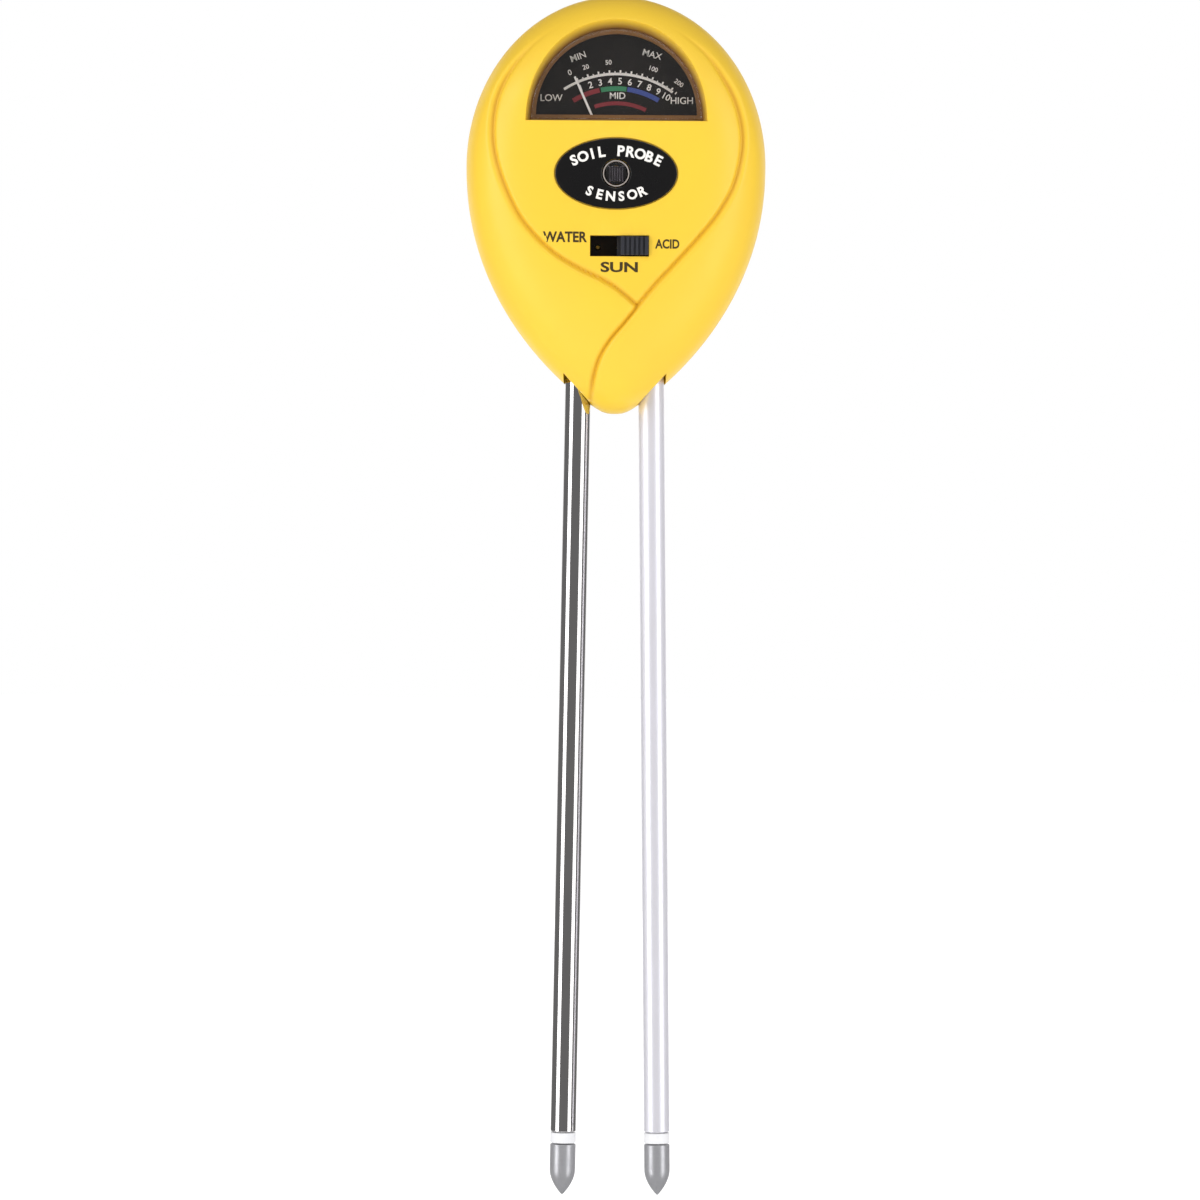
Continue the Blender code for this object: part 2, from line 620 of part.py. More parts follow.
def make_probe(name, side, tube_finish):
    parent = PROBE_AXES[side]
    ring_low = TIP_HEIGHT + GAP
    tube_low = ring_low + RING_HEIGHT + GAP
    bore = PROBE_RADIUS - PROBE_WALL
    spigot = bore - GAP
    hole = STEM_RADIUS + GAP
    spigot_top = ring_low + RING_HEIGHT + RING_SPIGOT_HEIGHT

    tube_profile = [
        (bore, PROBE_TOP), (PROBE_RADIUS, PROBE_TOP), (PROBE_RADIUS, tube_low),
        (bore, tube_low), (bore, PROBE_TOP),
    ]
    tube = name + "_probe_tube"
    place(tube, turned(tube, tube_profile), tube_finish, parent=parent)

    ring_profile = [
        (hole, spigot_top), (spigot, spigot_top), (spigot, ring_low + RING_HEIGHT),
        (PROBE_RADIUS, ring_low + RING_HEIGHT), (PROBE_RADIUS, ring_low),
        (hole, ring_low), (hole, spigot_top),
    ]
    ring = name + "_insulating_ring"
    place(ring, turned(ring, ring_profile), WHITE_PLASTIC, parent=parent)

    stem_top = TIP_HEIGHT + STEM_HEIGHT
    shares = [i / TIP_POINT_STEPS for i in range(TIP_POINT_STEPS, -1, -1)]
    ogive = [
        (PROBE_RADIUS * math.sin(math.pi / 2 * share) ** TIP_FULLNESS, TIP_POINT_HEIGHT * share)
        for share in shares
    ]
    tip_profile = [
        (0, stem_top), (STEM_RADIUS, stem_top), (STEM_RADIUS, TIP_HEIGHT), (PROBE_RADIUS, TIP_HEIGHT),
    ]
    tip = name + "_probe_tip"
    place(tip, turned(tip, tip_profile + ogive), ZINC, parent=parent)

    terminal_low = RIB_HEIGHTS[1] + RIB_THICKNESS / 2 + GAP
    terminal_high = terminal_low + TERMINAL_HEIGHT
    inner = PROBE_RADIUS + GAP
    outer = inner + TERMINAL_WIDTH
    terminal = name + "_tube_terminal"
    ring_shape = [
        (inner, terminal_high), (outer, terminal_high), (outer, terminal_low),
        (inner, terminal_low), (inner, terminal_high),
    ]
    band = place(terminal, turned(terminal, ring_shape), BRASS, parent=parent)
    reach = sorted((side * (outer - TERMINAL_WIDTH / 2), side * (outer + 2 * TERMINAL_WIDTH)))
    tab_low = (reach[0], -TERMINAL_WIDTH, terminal_low + TERMINAL_HEIGHT / 4)
    tab_high = (reach[1], TERMINAL_WIDTH, terminal_high - TERMINAL_HEIGHT / 4)
    join(band, tool_block(terminal + "_tab", tab_low, tab_high, parent))

    inside = [probe_point(side, stem_top + GAP + i * TIP_WIRE_SPACING) for i in range(6)]
    # The routes below are free curves: each point is a place in the space behind the board.
    pad = (side * 0.0050, BOARD_REAR + GAP, BOARD_LOW + 0.0055)
    above = [
        probe_point(side, PROBE_TOP + 0.0006),
        (side * 0.0072, -0.0014, PROBE_TOP + 0.0036),
        (side * 0.0058, BOARD_REAR + 0.0034, PROBE_TOP + 0.0060),
    ]
    tip_wire = name + "_tip_wire"
    route = inside + smooth_route([*above, pad])
    wire(tip_wire, route, WIRE_RADIUS, RED_WIRE if side < 0 else BLACK_WIRE)

    tab_x = probe_point(side, terminal_high)[0] + side * (outer + TERMINAL_WIDTH)
    lead = name + "_tube_lead"
    lead_route = [
        (tab_x, 0, terminal_high + GAP),
        (tab_x, -0.0010, BOARD_LOW + 0.0020),
        (side * 0.0125, BOARD_REAR + 0.0026, BOARD_LOW + 0.0070),
        (side * 0.0112, BOARD_REAR + GAP, BOARD_LOW + 0.0092),
    ]
    wire(lead, smooth_route(lead_route), WIRE_RADIUS, BLACK_WIRE if side < 0 else RED_WIRE)


make_probe("left", -1, NICKEL)
make_probe("right", 1, ALUMINIUM)


# Covers.
def make_cover(name, keep):
    """Half the head as a shell, made a little past the seam and then trimmed flat there."""
    cover = place(name, pebble(name, seam=-OVERLAP, keep=keep), YELLOW_ABS)
    thick = cover.modifiers.new("wall", "SOLIDIFY")
    thick.thickness = WALL
    thick.offset = -1
    depths = sorted((BOSS_SEAM, -FRONT_DEPTH)) if keep == "rear" else (-BOSS_SEAM, REAR_DEPTH)
    low = (-2 * HEAD_HALF_WIDTH, depths[0], WIDEST_HEIGHT - 2 * TONGUE_DROP)
    high = (2 * HEAD_HALF_WIDTH, depths[1], WIDEST_HEIGHT + 2 * CROWN_HEIGHT)
    cut(cover, tool_block(name + "_seam", low, high))
    return cover


FRONT_COVER = make_cover("front_cover", "front")
REAR_COVER = make_cover("rear_cover", "rear")


def add_ribs(cover, label, sign):
    for i, height in enumerate(RIB_HEIGHTS):
        half = RIB_THICKNESS / 2
        depths = sorted((sign * BOSS_SEAM, sign * FRONT_DEPTH))
        low = (-HEAD_HALF_WIDTH, depths[0], height - half)
        high = (HEAD_HALF_WIDTH, depths[1], height + half)
        join(cover, inside_head(tool_block(f"{label}_rib_{i}", low, high)))


def add_case_bosses():
    head_radius, head_height, shank_radius, length = CASE_SCREW
    hole = shank_radius + SCREW_CLEARANCE
    well = head_radius + SCREW_CLEARANCE
    for label, centre in CASE_SCREWS.items():
        front_boss = tool_disc(label + "_front_boss", CASE_BOSS_RADIUS, centre, -FRONT_DEPTH, -BOSS_SEAM)
        join(FRONT_COVER, inside_head(front_boss))
        radius = well + WALL * REAR_BOSS_WALL
        rear_boss = tool_disc(label + "_rear_boss", radius, centre, BOSS_SEAM, REAR_DEPTH)
        join(REAR_COVER, inside_head(rear_boss))
    for label, centre in CASE_SCREWS.items():
        blind_end = CASE_SCREW_SEAT - length - GAP
        cut(FRONT_COVER, tool_disc(label + "_front_hole", hole, centre, blind_end, CUT_BEYOND, 12))
        seat = CASE_SCREW_SEAT + OVERLAP
        cut(REAR_COVER, tool_disc(label + "_rear_hole", hole, centre, -CUT_BEYOND, seat, 12))
        well_end = REAR_DEPTH + CUT_BEYOND
        cut(REAR_COVER, tool_disc(label + "_screw_well", well, centre, CASE_SCREW_SEAT, well_end))


def add_probe_holes():
    for name, side in SIDES:
        clearance = probe_clearance(name + "_probe_clearance", side)
        cut(FRONT_COVER, clearance)
        cut(REAR_COVER, clearance)


def add_window():
    """A deep D frame inside the front wall, with a flared recess, a lens seat and a ledge."""
    frame_outline = d_grown(WINDOW_WALL)
    frame = loft("window_frame", [(-FRONT_DEPTH, frame_outline), (LEDGE_REAR, frame_outline)])
    join(FRONT_COVER, inside_head(place("window_frame", frame)))
    rim_half_width = LENS_HALF_WIDTH + RIM_FLARE_SIDE
    rim = d_outline(rim_half_width, LENS_BASE - RIM_FLARE_BASE, LENS_CROWN + RIM_FLARE_CROWN)
    seat = d_grown(GAP)
    recess_sections = [(-FRONT_DEPTH - FLAT_ALLOWANCE, rim), (LENS_FRONT, seat), (LEDGE_FRONT, seat)]
    recess = loft("window_recess", recess_sections)
    cut(FRONT_COVER, place("window_recess", recess))
    ledge = d_grown(-LEDGE_WIDTH)
    opening = loft("window_opening", [(LENS_FRONT - OVERLAP, ledge), (LEDGE_REAR + OVERLAP, ledge)])
    cut(FRONT_COVER, place("window_opening", opening))


def add_front_bosses():
    """Posts for the movement's ears and for the circuit board, with blind holes for their screws."""
    shank_radius, length = SMALL_SCREW[2:]
    posts = []
    for name, side in SIDES:
        ear = (side * FRAME_EAR_X, PIVOT_HEIGHT)
        posts.append((name + "_movement_post", ear, FRAME_FRONT - GAP, FRAME_BAR_REAR + GAP))
        board = (side * BOARD_SCREW_X, BOARD_SCREW_HEIGHT)
        posts.append((name + "_board_post", board, BOARD_FRONT - GAP, BOARD_REAR + GAP))
    for label, centre, top, _ in posts:
        join(FRONT_COVER, inside_head(tool_disc(label, SMALL_BOSS_RADIUS, centre, -FRONT_DEPTH, top)))
    for label, centre, top, seat in posts:
        hole = shank_radius + SCREW_CLEARANCE
        cut(FRONT_COVER, tool_disc(label + "_hole", hole, centre, seat - length - GAP, top + OVERLAP, 12))


def add_front_openings():
    seat = ellipse((0, BADGE_HEIGHT), BADGE_HALF_WIDTH + GAP, BADGE_HALF_HEIGHT + GAP)
    badge_seat = loft("badge_seat", [(BADGE_FRONT - CUT_BEYOND, seat), (BADGE_REAR + GAP, seat)])
    cut(FRONT_COVER, place("badge_seat", badge_seat))
    beyond = (-FRONT_DEPTH - CUT_BEYOND, INNER_FRONT + OVERLAP)
    cut(FRONT_COVER, tool_disc("sensor_hole", SENSOR_HOLE_RADIUS, (0, BADGE_HEIGHT), *beyond))
    low = (SWITCH_X - SLOT_HALF_LENGTH, beyond[0], SWITCH_HEIGHT - SLOT_HALF_HEIGHT)
    high = (SWITCH_X + SLOT_HALF_LENGTH, beyond[1], SWITCH_HEIGHT + SLOT_HALF_HEIGHT)
    cut(FRONT_COVER, tool_block("switch_slot", low, high))


add_ribs(FRONT_COVER, "front", -1)
add_ribs(REAR_COVER, "rear", 1)
add_probe_holes()
add_case_bosses()
add_front_bosses()
add_window()
add_front_openings()

CASE_SCREW_MESH = screw_mesh("case_screw", CASE_SCREW)
for screw_name, (screw_x, screw_z) in CASE_SCREWS.items():
    where = (screw_x, CASE_SCREW_SEAT + GAP, screw_z)
    place("case_screw_" + screw_name, CASE_SCREW_MESH, STEEL, where, FACING_REAR)


# Lens and badge.
facing_plate("dial_lens", d_grown(0), LENS_FRONT, LENS_REAR, CLEAR_STYRENE)

BADGE_OUTLINE = ellipse((0, BADGE_HEIGHT), BADGE_HALF_WIDTH, BADGE_HALF_HEIGHT)
SENSOR_HOLE = circle((0, BADGE_HEIGHT), SENSOR_HOLE_RADIUS, 24)
facing_plate("badge_plate", BADGE_OUTLINE, BADGE_FRONT, BADGE_REAR, BLACK_PRINT, [SENSOR_HOLE])


def make_sensor():
    front, rear = BADGE_FRONT, INNER_FRONT
    inner = BEZEL_RADIUS - BEZEL_WALL
    profile = [
        (inner, -front), (BEZEL_RADIUS, -front), (BEZEL_RADIUS, -rear),
        (inner, -rear), (inner, -front),
    ]
    place("sensor_bezel", turned("sensor_bezel", profile), WHITE_PLASTIC, (0, 0, BADGE_HEIGHT), FACING_FRONT)
    window_front = front + SENSOR_WINDOW_RECESS
    window = disc_y("sensor_window", inner - GAP, (0, BADGE_HEIGHT), window_front, CELL_FRONT - GAP)
    place("sensor_window", window, CLEAR_STYRENE)
    low = (-CELL_HALF, CELL_FRONT, BADGE_HEIGHT - CELL_HALF)
    high = (CELL_HALF, CELL_REAR, BADGE_HEIGHT + CELL_HALF)
    place("light_cell", block("light_cell", low, high), SILICON)
    for name, side in SIDES:
        route = [
            (side * 0.0012, CELL_REAR + GAP + WIRE_RADIUS, BADGE_HEIGHT),
            (side * 0.0016, CELL_REAR + 0.0022, BADGE_HEIGHT - 0.0025),
            (side * 0.0026, BOARD_FRONT - 0.0024, BOARD_HIGH + 0.0025),
            (side * 0.0030, BOARD_FRONT - 0.0012, BOARD_HIGH - 0.0003),
            (side * 0.0030, BOARD_FRONT - GAP, BOARD_HIGH - 0.0009),
        ]
        wire(name + "_cell_lead", smooth_route(route), WIRE_RADIUS, RED_WIRE if side < 0 else BLACK_WIRE)


make_sensor()


# Movement.
POINTER_AXIS = axis_empty("pointer_axis", (0, 0, PIVOT_HEIGHT), POINTER_REST)


def dial_screw_place(side):
    return (side * DIAL_EAR_X, DIAL_SCREW_HEIGHT)


def make_movement_frame():
    """A rectangular loop round the yoke, with ears for its screws and lugs for the dial plate."""
    half = FRAME_HEIGHT / 2
    low = (-PILLAR_OUTER_X, FRAME_FRONT, PIVOT_HEIGHT - half)
    high = (PILLAR_OUTER_X, FRAME_REAR, PIVOT_HEIGHT + half)
    frame = place("movement_frame", block("movement_frame", low, high), BLACK_PLASTIC)
    well_low = (-PILLAR_INNER_X, FRAME_BAR_REAR, low[2] - OVERLAP)
    well_high = (PILLAR_INNER_X, FRAME_REAR - FRAME_BAR, high[2] + OVERLAP)
    cut(frame, tool_block("movement_well", well_low, well_high))
    shank = SMALL_SCREW[2] + SCREW_CLEARANCE
    dial_shank = DIAL_SCREW[2] + SCREW_CLEARANCE
    lug_high = DIAL_BASE - DIAL_LUG_BELOW_DIAL
    holes = []
    for name, side in SIDES:
        ear_x = sorted((side * (PILLAR_OUTER_X - OVERLAP), side * (FRAME_EAR_X + FRAME_EAR_BEYOND)))
        ear_low = (ear_x[0], FRAME_FRONT, low[2] + FRAME_EAR_INSET)
        ear_high = (ear_x[1], FRAME_BAR_REAR, high[2] - FRAME_EAR_INSET)
        ear = tool_block(name + "_frame_ear", ear_low, ear_high)
        lug_x = side * DIAL_EAR_X
        lug = tool_block(
            name + "_dial_lug",
            (lug_x - DIAL_EAR_WIDTH / 2, FRAME_FRONT + FACE_STEP, PIVOT_HEIGHT),
            (lug_x + DIAL_EAR_WIDTH / 2, FRAME_BAR_REAR - FACE_STEP, lug_high),
        )
        join(frame, ear, lug)
        ear_centre = (side * FRAME_EAR_X, PIVOT_HEIGHT)
        holes.append((name + "_ear_hole", shank, ear_centre))
        holes.append((name + "_lug_hole", dial_shank, dial_screw_place(side)))
    holes.append(("front_jewel_hole", JEWEL_RADIUS + GAP, (0, PIVOT_HEIGHT)))
    for label, radius, centre in holes:
        cut(frame, tool_disc(label, radius, centre, FRAME_FRONT - OVERLAP, FRAME_BAR_REAR + OVERLAP))
    rear_hole = (FRAME_REAR - FRAME_BAR - OVERLAP, FRAME_REAR + OVERLAP)
    cut(frame, tool_disc("rear_jewel_hole", JEWEL_RADIUS + GAP, (0, PIVOT_HEIGHT), *rear_hole))


def make_dial_plate():
    """The D of the printed face with an ear at each lower side."""
    outline = d_grown(DIAL_MARGIN)
    ear_low = DIAL_BASE - DIAL_EAR_DROP
    half = DIAL_EAR_WIDTH / 2
    ears = []
    for side in (-1, 1):
        inner, outer = side * DIAL_EAR_X - half, side * DIAL_EAR_X + half
        ears += [(inner, DIAL_BASE), (inner, ear_low), (outer, ear_low), (outer, DIAL_BASE)]
    holes = [circle(dial_screw_place(side), DIAL_SCREW[2] + SCREW_CLEARANCE) for _, side in SIDES]
    facing_plate("dial_plate", outline + ears, DIAL_FRONT, DIAL_REAR, BLACK_PRINT, holes)


def make_magnet_system():
    middle = (0, PIVOT_HEIGHT)
    core = disc_y("core_magnet", CORE_RADIUS, middle, CORE_FRONT, CORE_REAR)
    place("core_magnet", core, FERRITE)
    yoke_disc = disc_y("yoke_ring", YOKE_OUTER_RADIUS, middle, CORE_FRONT, CORE_REAR, 32)
    yoke = place("yoke_ring", yoke_disc, STEEL)
    beyond = (CORE_FRONT - OVERLAP, CORE_REAR + OVERLAP)
    cut(yoke, tool_disc("yoke_bore", YOKE_INNER_RADIUS, middle, *beyond, 32))
    strip_rear = CORE_FRONT - GAP
    low = (-STRIP_WIDTH / 2, strip_rear - STRIP_THICKNESS, PIVOT_HEIGHT - YOKE_OUTER_RADIUS + GAP)
    high = (STRIP_WIDTH / 2, strip_rear, PIVOT_HEIGHT + YOKE_OUTER_RADIUS - GAP)
    place("core_bridge", block("core_bridge", low, high), BRASS)


def make_moving_coil():
    half = COIL_WIDTH / 2
    low = (-COIL_OUTER_RADIUS, COIL_FRONT, -half)
    high = (COIL_OUTER_RADIUS, COIL_REAR, half)
    coil = place("moving_coil", block("moving_coil", low, high), COPPER, parent=POINTER_AXIS)
    well_low = (-COIL_INNER_RADIUS, COIL_FRONT + COIL_WINDING, -half - OVERLAP)
    well_high = (COIL_INNER_RADIUS, COIL_REAR - COIL_WINDING, half + OVERLAP)
    cut(coil, tool_block("coil_well", well_low, well_high, POINTER_AXIS))
    rounded = coil.modifiers.new("rounded", "BEVEL")
    rounded.width = COIL_ROUNDING
    rounded.segments = 1
    rounded.limit_method = "ANGLE"


def make_pointer():
    """A flat needle: a hub, an arm that cranks forward past the dial plate's edge, and a tail."""
    thick = POINTER_THICKNESS
    arm_front, blade_front = HUB_FRONT, POINTER_FRONT
    crank = POINTER_CRANK_RADIUS
    side_view = [
        (arm_front + thick, -POINTER_TAIL), (arm_front + thick, crank), (blade_front + thick, crank),
        (blade_front + thick, POINTER_LENGTH), (blade_front, POINTER_LENGTH), (blade_front, crank - thick),
        (arm_front, crank - thick), (arm_front, -POINTER_TAIL),
    ]
    mesh = outline_plate("pointer", side_view, POINTER_WIDTH)
    mesh.transform(Matrix(((0, 0, 1, 0), (1, 0, 0, 0), (0, 1, 0, 0), (0, 0, 0, 1))))
    needle = place("pointer", mesh, WHITE_PAINT, parent=POINTER_AXIS)
    front = HUB_FRONT - FACE_STEP
    hub = disc_y("pointer_hub", HUB_RADIUS, (0, 0), front, HUB_REAR)
    tail = (0, -POINTER_TAIL)
    weight = disc_y("pointer_weight", POINTER_WEIGHT_RADIUS, tail, front, HUB_REAR - FACE_STEP, 16)
    for joined in (hub, weight):
        join(needle, place(joined.name, joined, parent=POINTER_AXIS))
    beyond = (HUB_FRONT - OVERLAP, HUB_REAR + OVERLAP)
    bore = disc_y("pointer_bore", STAFF_RADIUS + GAP, (0, 0), *beyond, 16)
    cut(needle, place("pointer_bore", bore, parent=POINTER_AXIS))


def make_staff(name, foot, tip, facing):
    """A pivot staff whose cone tip runs in its jewel screw; local +Z leaves the coil."""
    length = abs(tip - foot)
    profile = [(0, length), (STAFF_RADIUS, length - STAFF_CONE), (STAFF_RADIUS, 0), (0, 0)]
    where = (0, foot, 0)
    place(name, turned(name, profile, 16), STEEL, where, facing, POINTER_AXIS)


def make_jewel_screw(name, seat, facing):
    """A threaded bearing screw with a cone cup; local +Z leaves the cup."""
    profile = [
        (0, JEWEL_LENGTH), (JEWEL_RADIUS, JEWEL_LENGTH), (JEWEL_RADIUS, 0),
        (JEWEL_CUP_RADIUS, 0), (0, JEWEL_CUP_DEPTH),
    ]
    screw = place(name, turned(name, profile, 16), BRASS, (0, seat, PIVOT_HEIGHT), facing)
    half_length, half_width = JEWEL_RADIUS + OVERLAP, JEWEL_SLOT / 2
    low = (-half_length, -half_width, JEWEL_LENGTH - JEWEL_SLOT)
    high = (half_length, half_width, JEWEL_LENGTH + OVERLAP)
    driver = tool_block(name + "_slot", low, high)
    driver.location = screw.location
    driver.rotation_euler = screw.rotation_euler
    cut(screw, driver)


def make_hairspring(name, y):
    """A flat spiral round the staff, at rest."""
    steps = SPRING_TURNS * SPRING_STEPS_PER_TURN
    route = []
    for i in range(steps + 1):
        angle = math.tau * SPRING_TURNS * i / steps
        radius = SPRING_INNER + (SPRING_OUTER - SPRING_INNER) * i / steps
        route.append((radius * math.sin(angle), y, PIVOT_HEIGHT + radius * math.cos(angle)))
    wire(name, route, SPRING_WIRE, BRASS, 0)


make_movement_frame()
make_dial_plate()
make_magnet_system()
make_moving_coil()
make_pointer()

make_staff("front_staff", COIL_FRONT - GAP, FRONT_CUP - TIP_IN_CUP, FACING_FRONT)
make_staff("rear_staff", COIL_REAR + GAP, REAR_CUP + TIP_IN_CUP, FACING_REAR)
make_jewel_screw("front_jewel_screw", FRONT_CUP, FACING_FRONT)
make_jewel_screw("rear_jewel_screw", REAR_CUP, FACING_REAR)
make_hairspring("front_hairspring", (HUB_REAR + COIL_FRONT) / 2)
make_hairspring("rear_hairspring", (COIL_REAR + REAR_CUP) / 2)

SMALL_SCREW_MESH = screw_mesh("small_screw", SMALL_SCREW)
DIAL_SCREW_MESH = screw_mesh("dial_screw", DIAL_SCREW)
for side_name, side_sign in SIDES:
    ear_seat = (side_sign * FRAME_EAR_X, FRAME_BAR_REAR + GAP, PIVOT_HEIGHT)
    place("movement_screw_" + side_name, SMALL_SCREW_MESH, STEEL, ear_seat, FACING_REAR)
    dial_x, dial_z = dial_screw_place(side_sign)
    place("dial_screw_" + side_name, DIAL_SCREW_MESH, STEEL, (dial_x, DIAL_FRONT - GAP, dial_z), FACING_FRONT)
    board_seat = (side_sign * BOARD_SCREW_X, BOARD_REAR + GAP, BOARD_SCREW_HEIGHT)
    place("board_screw_" + side_name, SMALL_SCREW_MESH, STEEL, board_seat, FACING_REAR)
    # The movement's leads run from the frame down to the board's upper corners.
    lead_route = [
        (side_sign * (PILLAR_OUTER_X - 0.0012), BOARD_REAR + 0.0024, PIVOT_HEIGHT - FRAME_HEIGHT / 2 - GAP),
        (side_sign * (PILLAR_OUTER_X - 0.0014), BOARD_REAR + 0.0023, BOARD_HIGH + 0.0040),
        (side_sign * (BOARD_HALF_WIDTH - 0.0036), BOARD_REAR + 0.0018, BOARD_HIGH),
        (side_sign * (BOARD_HALF_WIDTH - 0.0050), BOARD_REAR + GAP, BOARD_HIGH - 0.0025),
    ]
    lead_finish = RED_WIRE if side_sign < 0 else BLACK_WIRE
    wire(side_name + "_movement_lead", smooth_route(lead_route), WIRE_RADIUS, lead_finish)


# Slide switch.
def make_switch():
    x, z = SWITCH_X, SWITCH_HEIGHT
    half_length, half_height = SHELL_HALF_LENGTH, SHELL_HALF_HEIGHT
    low = (x - half_length, SHELL_FRONT, z - half_height)
    high = (x + half_length, SHELL_REAR, z + half_height)
    shell = place("switch_shell", block("switch_shell", low, high), STEEL)
    ear_reach, ear_half_height = half_length + SHELL_EAR, half_height - SHELL_EAR_INSET
    ear_low = (x - ear_reach, SHELL_FRONT + FACE_STEP / 2, z - ear_half_height)
    ear_high = (x + ear_reach, SHELL_FRONT + SHELL_WALL, z + ear_half_height)
    join(shell, tool_block("shell_ears", ear_low, ear_high))
    inner_length, inner_height = half_length - SHELL_WALL, half_height - SHELL_WALL
    well_low = (x - inner_length, SHELL_FRONT + SHELL_WALL, z - inner_height)
    well_high = (x + inner_length, SHELL_REAR + OVERLAP, z + inner_height)
    cut(shell, tool_block("shell_well", well_low, well_high))
    slot_length = SLOT_HALF_LENGTH + GAP
    slot_low = (x - slot_length, SHELL_FRONT - OVERLAP, z - SLOT_HALF_HEIGHT)
    slot_high = (x + slot_length, SHELL_FRONT + SHELL_WALL + OVERLAP, z + SLOT_HALF_HEIGHT)
    cut(shell, tool_block("shell_slot", slot_low, slot_high))

    base_length, base_height = inner_length - GAP, inner_height - GAP
    low = (x - base_length, BASE_FRONT, z - base_height)
    high = (x + base_length, BASE_REAR, z + base_height)
    base = place("switch_base", block("switch_base", low, high), PHENOLIC)
    pin_holes = []
    for label, offset in (("left", -PIN_PITCH), ("middle", 0), ("right", PIN_PITCH)):
        centre = (x + offset, z)
        beyond = (BASE_FRONT - OVERLAP, BOARD_REAR + OVERLAP)
        pin_holes.append(tool_disc(label + "_pin_hole", PIN_HOLE_RADIUS, centre, *beyond, 12))
        ends = (BASE_FRONT - FACE_STEP, BOARD_REAR + PIN_BEHIND_BOARD)
        pin = disc_y("switch_pin_" + label, PIN_RADIUS, centre, *ends, 12)
        place("switch_pin_" + label, pin, BRASS)
    cut(base, *pin_holes)
    return pin_holes


def make_knob():
    """The ribbed knob on its carriage, with its origin on the slide's line."""
    half_height = KNOB_HALF_HEIGHT
    low = (-KNOB_HALF_LENGTH, KNOB_FRONT, -half_height)
    high = (KNOB_HALF_LENGTH, CARRIAGE_REAR - KNOB_REAR_STEP, half_height)
    where = (KNOB_REST_X, 0, SWITCH_HEIGHT)
    knob = place("switch_knob", block("switch_knob", low, high), BLACK_PLASTIC, where)
    low = (-CARRIAGE_HALF_LENGTH, CARRIAGE_FRONT, -CARRIAGE_HALF_HEIGHT)
    high = (CARRIAGE_HALF_LENGTH, CARRIAGE_REAR, CARRIAGE_HALF_HEIGHT)
    join(knob, tool_block("knob_carriage", low, high, knob))
    pitch = 2 * KNOB_HALF_LENGTH / (KNOB_RIBS + 1)
    for i in range(KNOB_RIBS):
        x = pitch * (i - (KNOB_RIBS - 1) / 2)
        low = (x - KNOB_GROOVE / 2, KNOB_FRONT - OVERLAP, -half_height - OVERLAP)
        high = (x + KNOB_GROOVE / 2, KNOB_FRONT + KNOB_GROOVE, half_height + OVERLAP)
        cut(knob, tool_block(f"knob_groove_{i}", low, high, knob))
    span = CARRIAGE_HALF_LENGTH - BRIDGE_END_INSET
    front = CARRIAGE_REAR + GAP
    rise = BASE_FRONT - FACE_STEP - GAP - front - BRIDGE_THICKNESS
    shares = [i / BRIDGE_STEPS for i in range(BRIDGE_STEPS + 1)]
    arch = [(span * (2 * share - 1), front + rise * math.sin(math.pi * share)) for share in shares]
    under = [(x, y + BRIDGE_THICKNESS) for x, y in reversed(arch)]
    width = 2 * (CARRIAGE_HALF_HEIGHT - BRIDGE_SIDE_INSET)
    place("contact_bridge", outline_plate("contact_bridge", arch + under, width), BRASS, where)


def make_board(pin_holes):
    low = (-BOARD_HALF_WIDTH, BOARD_FRONT, BOARD_LOW)
    high = (BOARD_HALF_WIDTH, BOARD_REAR, BOARD_HIGH)
    board = place("circuit_board", block("circuit_board", low, high), GREEN_BOARD)
    cut(board, *pin_holes)
    for name, side in SIDES:
        centre = (side * BOARD_SCREW_X, BOARD_SCREW_HEIGHT)
        hole = SMALL_SCREW[2] + SCREW_CLEARANCE
        beyond = (BOARD_FRONT - OVERLAP, BOARD_REAR + OVERLAP)
        cut(board, tool_disc(name + "_board_hole", hole, centre, *beyond, 16))


def make_resistor(name, middle, body_finish):
    """An axial resistor that stands on two bent legs behind the board."""
    x, z = middle
    y = BOARD_REAR + RESISTOR_RADIUS + RESISTOR_BEHIND_BOARD
    half = RESISTOR_LENGTH / 2
    body = place(name, bar(name, RESISTOR_RADIUS, (x - half, y, z), (x + half, y, z), 16), body_finish)
    reach = RESISTOR_SPAN / 2
    lead = bar(name + "_lead", RESISTOR_LEAD_RADIUS, (x - reach, y, z), (x + reach, y, z), 8)
    join(body, place(name + "_lead", lead))
    for label, side in SIDES:
        foot_x = x + side * (reach - RESISTOR_LEAD_RADIUS - FACE_STEP)
        upper, foot = (foot_x, y + RESISTOR_LEAD_RADIUS, z), (foot_x, BOARD_REAR + GAP, z)
        leg = bar(name + "_leg", RESISTOR_LEG_RADIUS, upper, foot, 8)
        join(body, place(f"{name}_{label}_leg", leg))


make_knob()
make_board(make_switch())
for resistor, above in zip(("moisture_resistor", "light_resistor"), RESISTOR_HEIGHTS):
    make_resistor(resistor, (0, BOARD_LOW + above), TAN_CERAMIC)
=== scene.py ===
# %% [markdown]
# # A soil moisture meter with two probes
# This lesson builds the visible skin of a garden soil meter around its measured model.
# The real object is a yellow moulded head with a dial window, an oval badge with a light
# sensor, a slide switch, and two metal probes that are pushed into the soil. The measured
# model gives every size and place, so each new piece is put where its node already is.

# %% Load the measured model
import math

import bmesh
import bpy
import numpy as np
from mathutils import Matrix, Vector
from mathutils.bvhtree import BVHTree


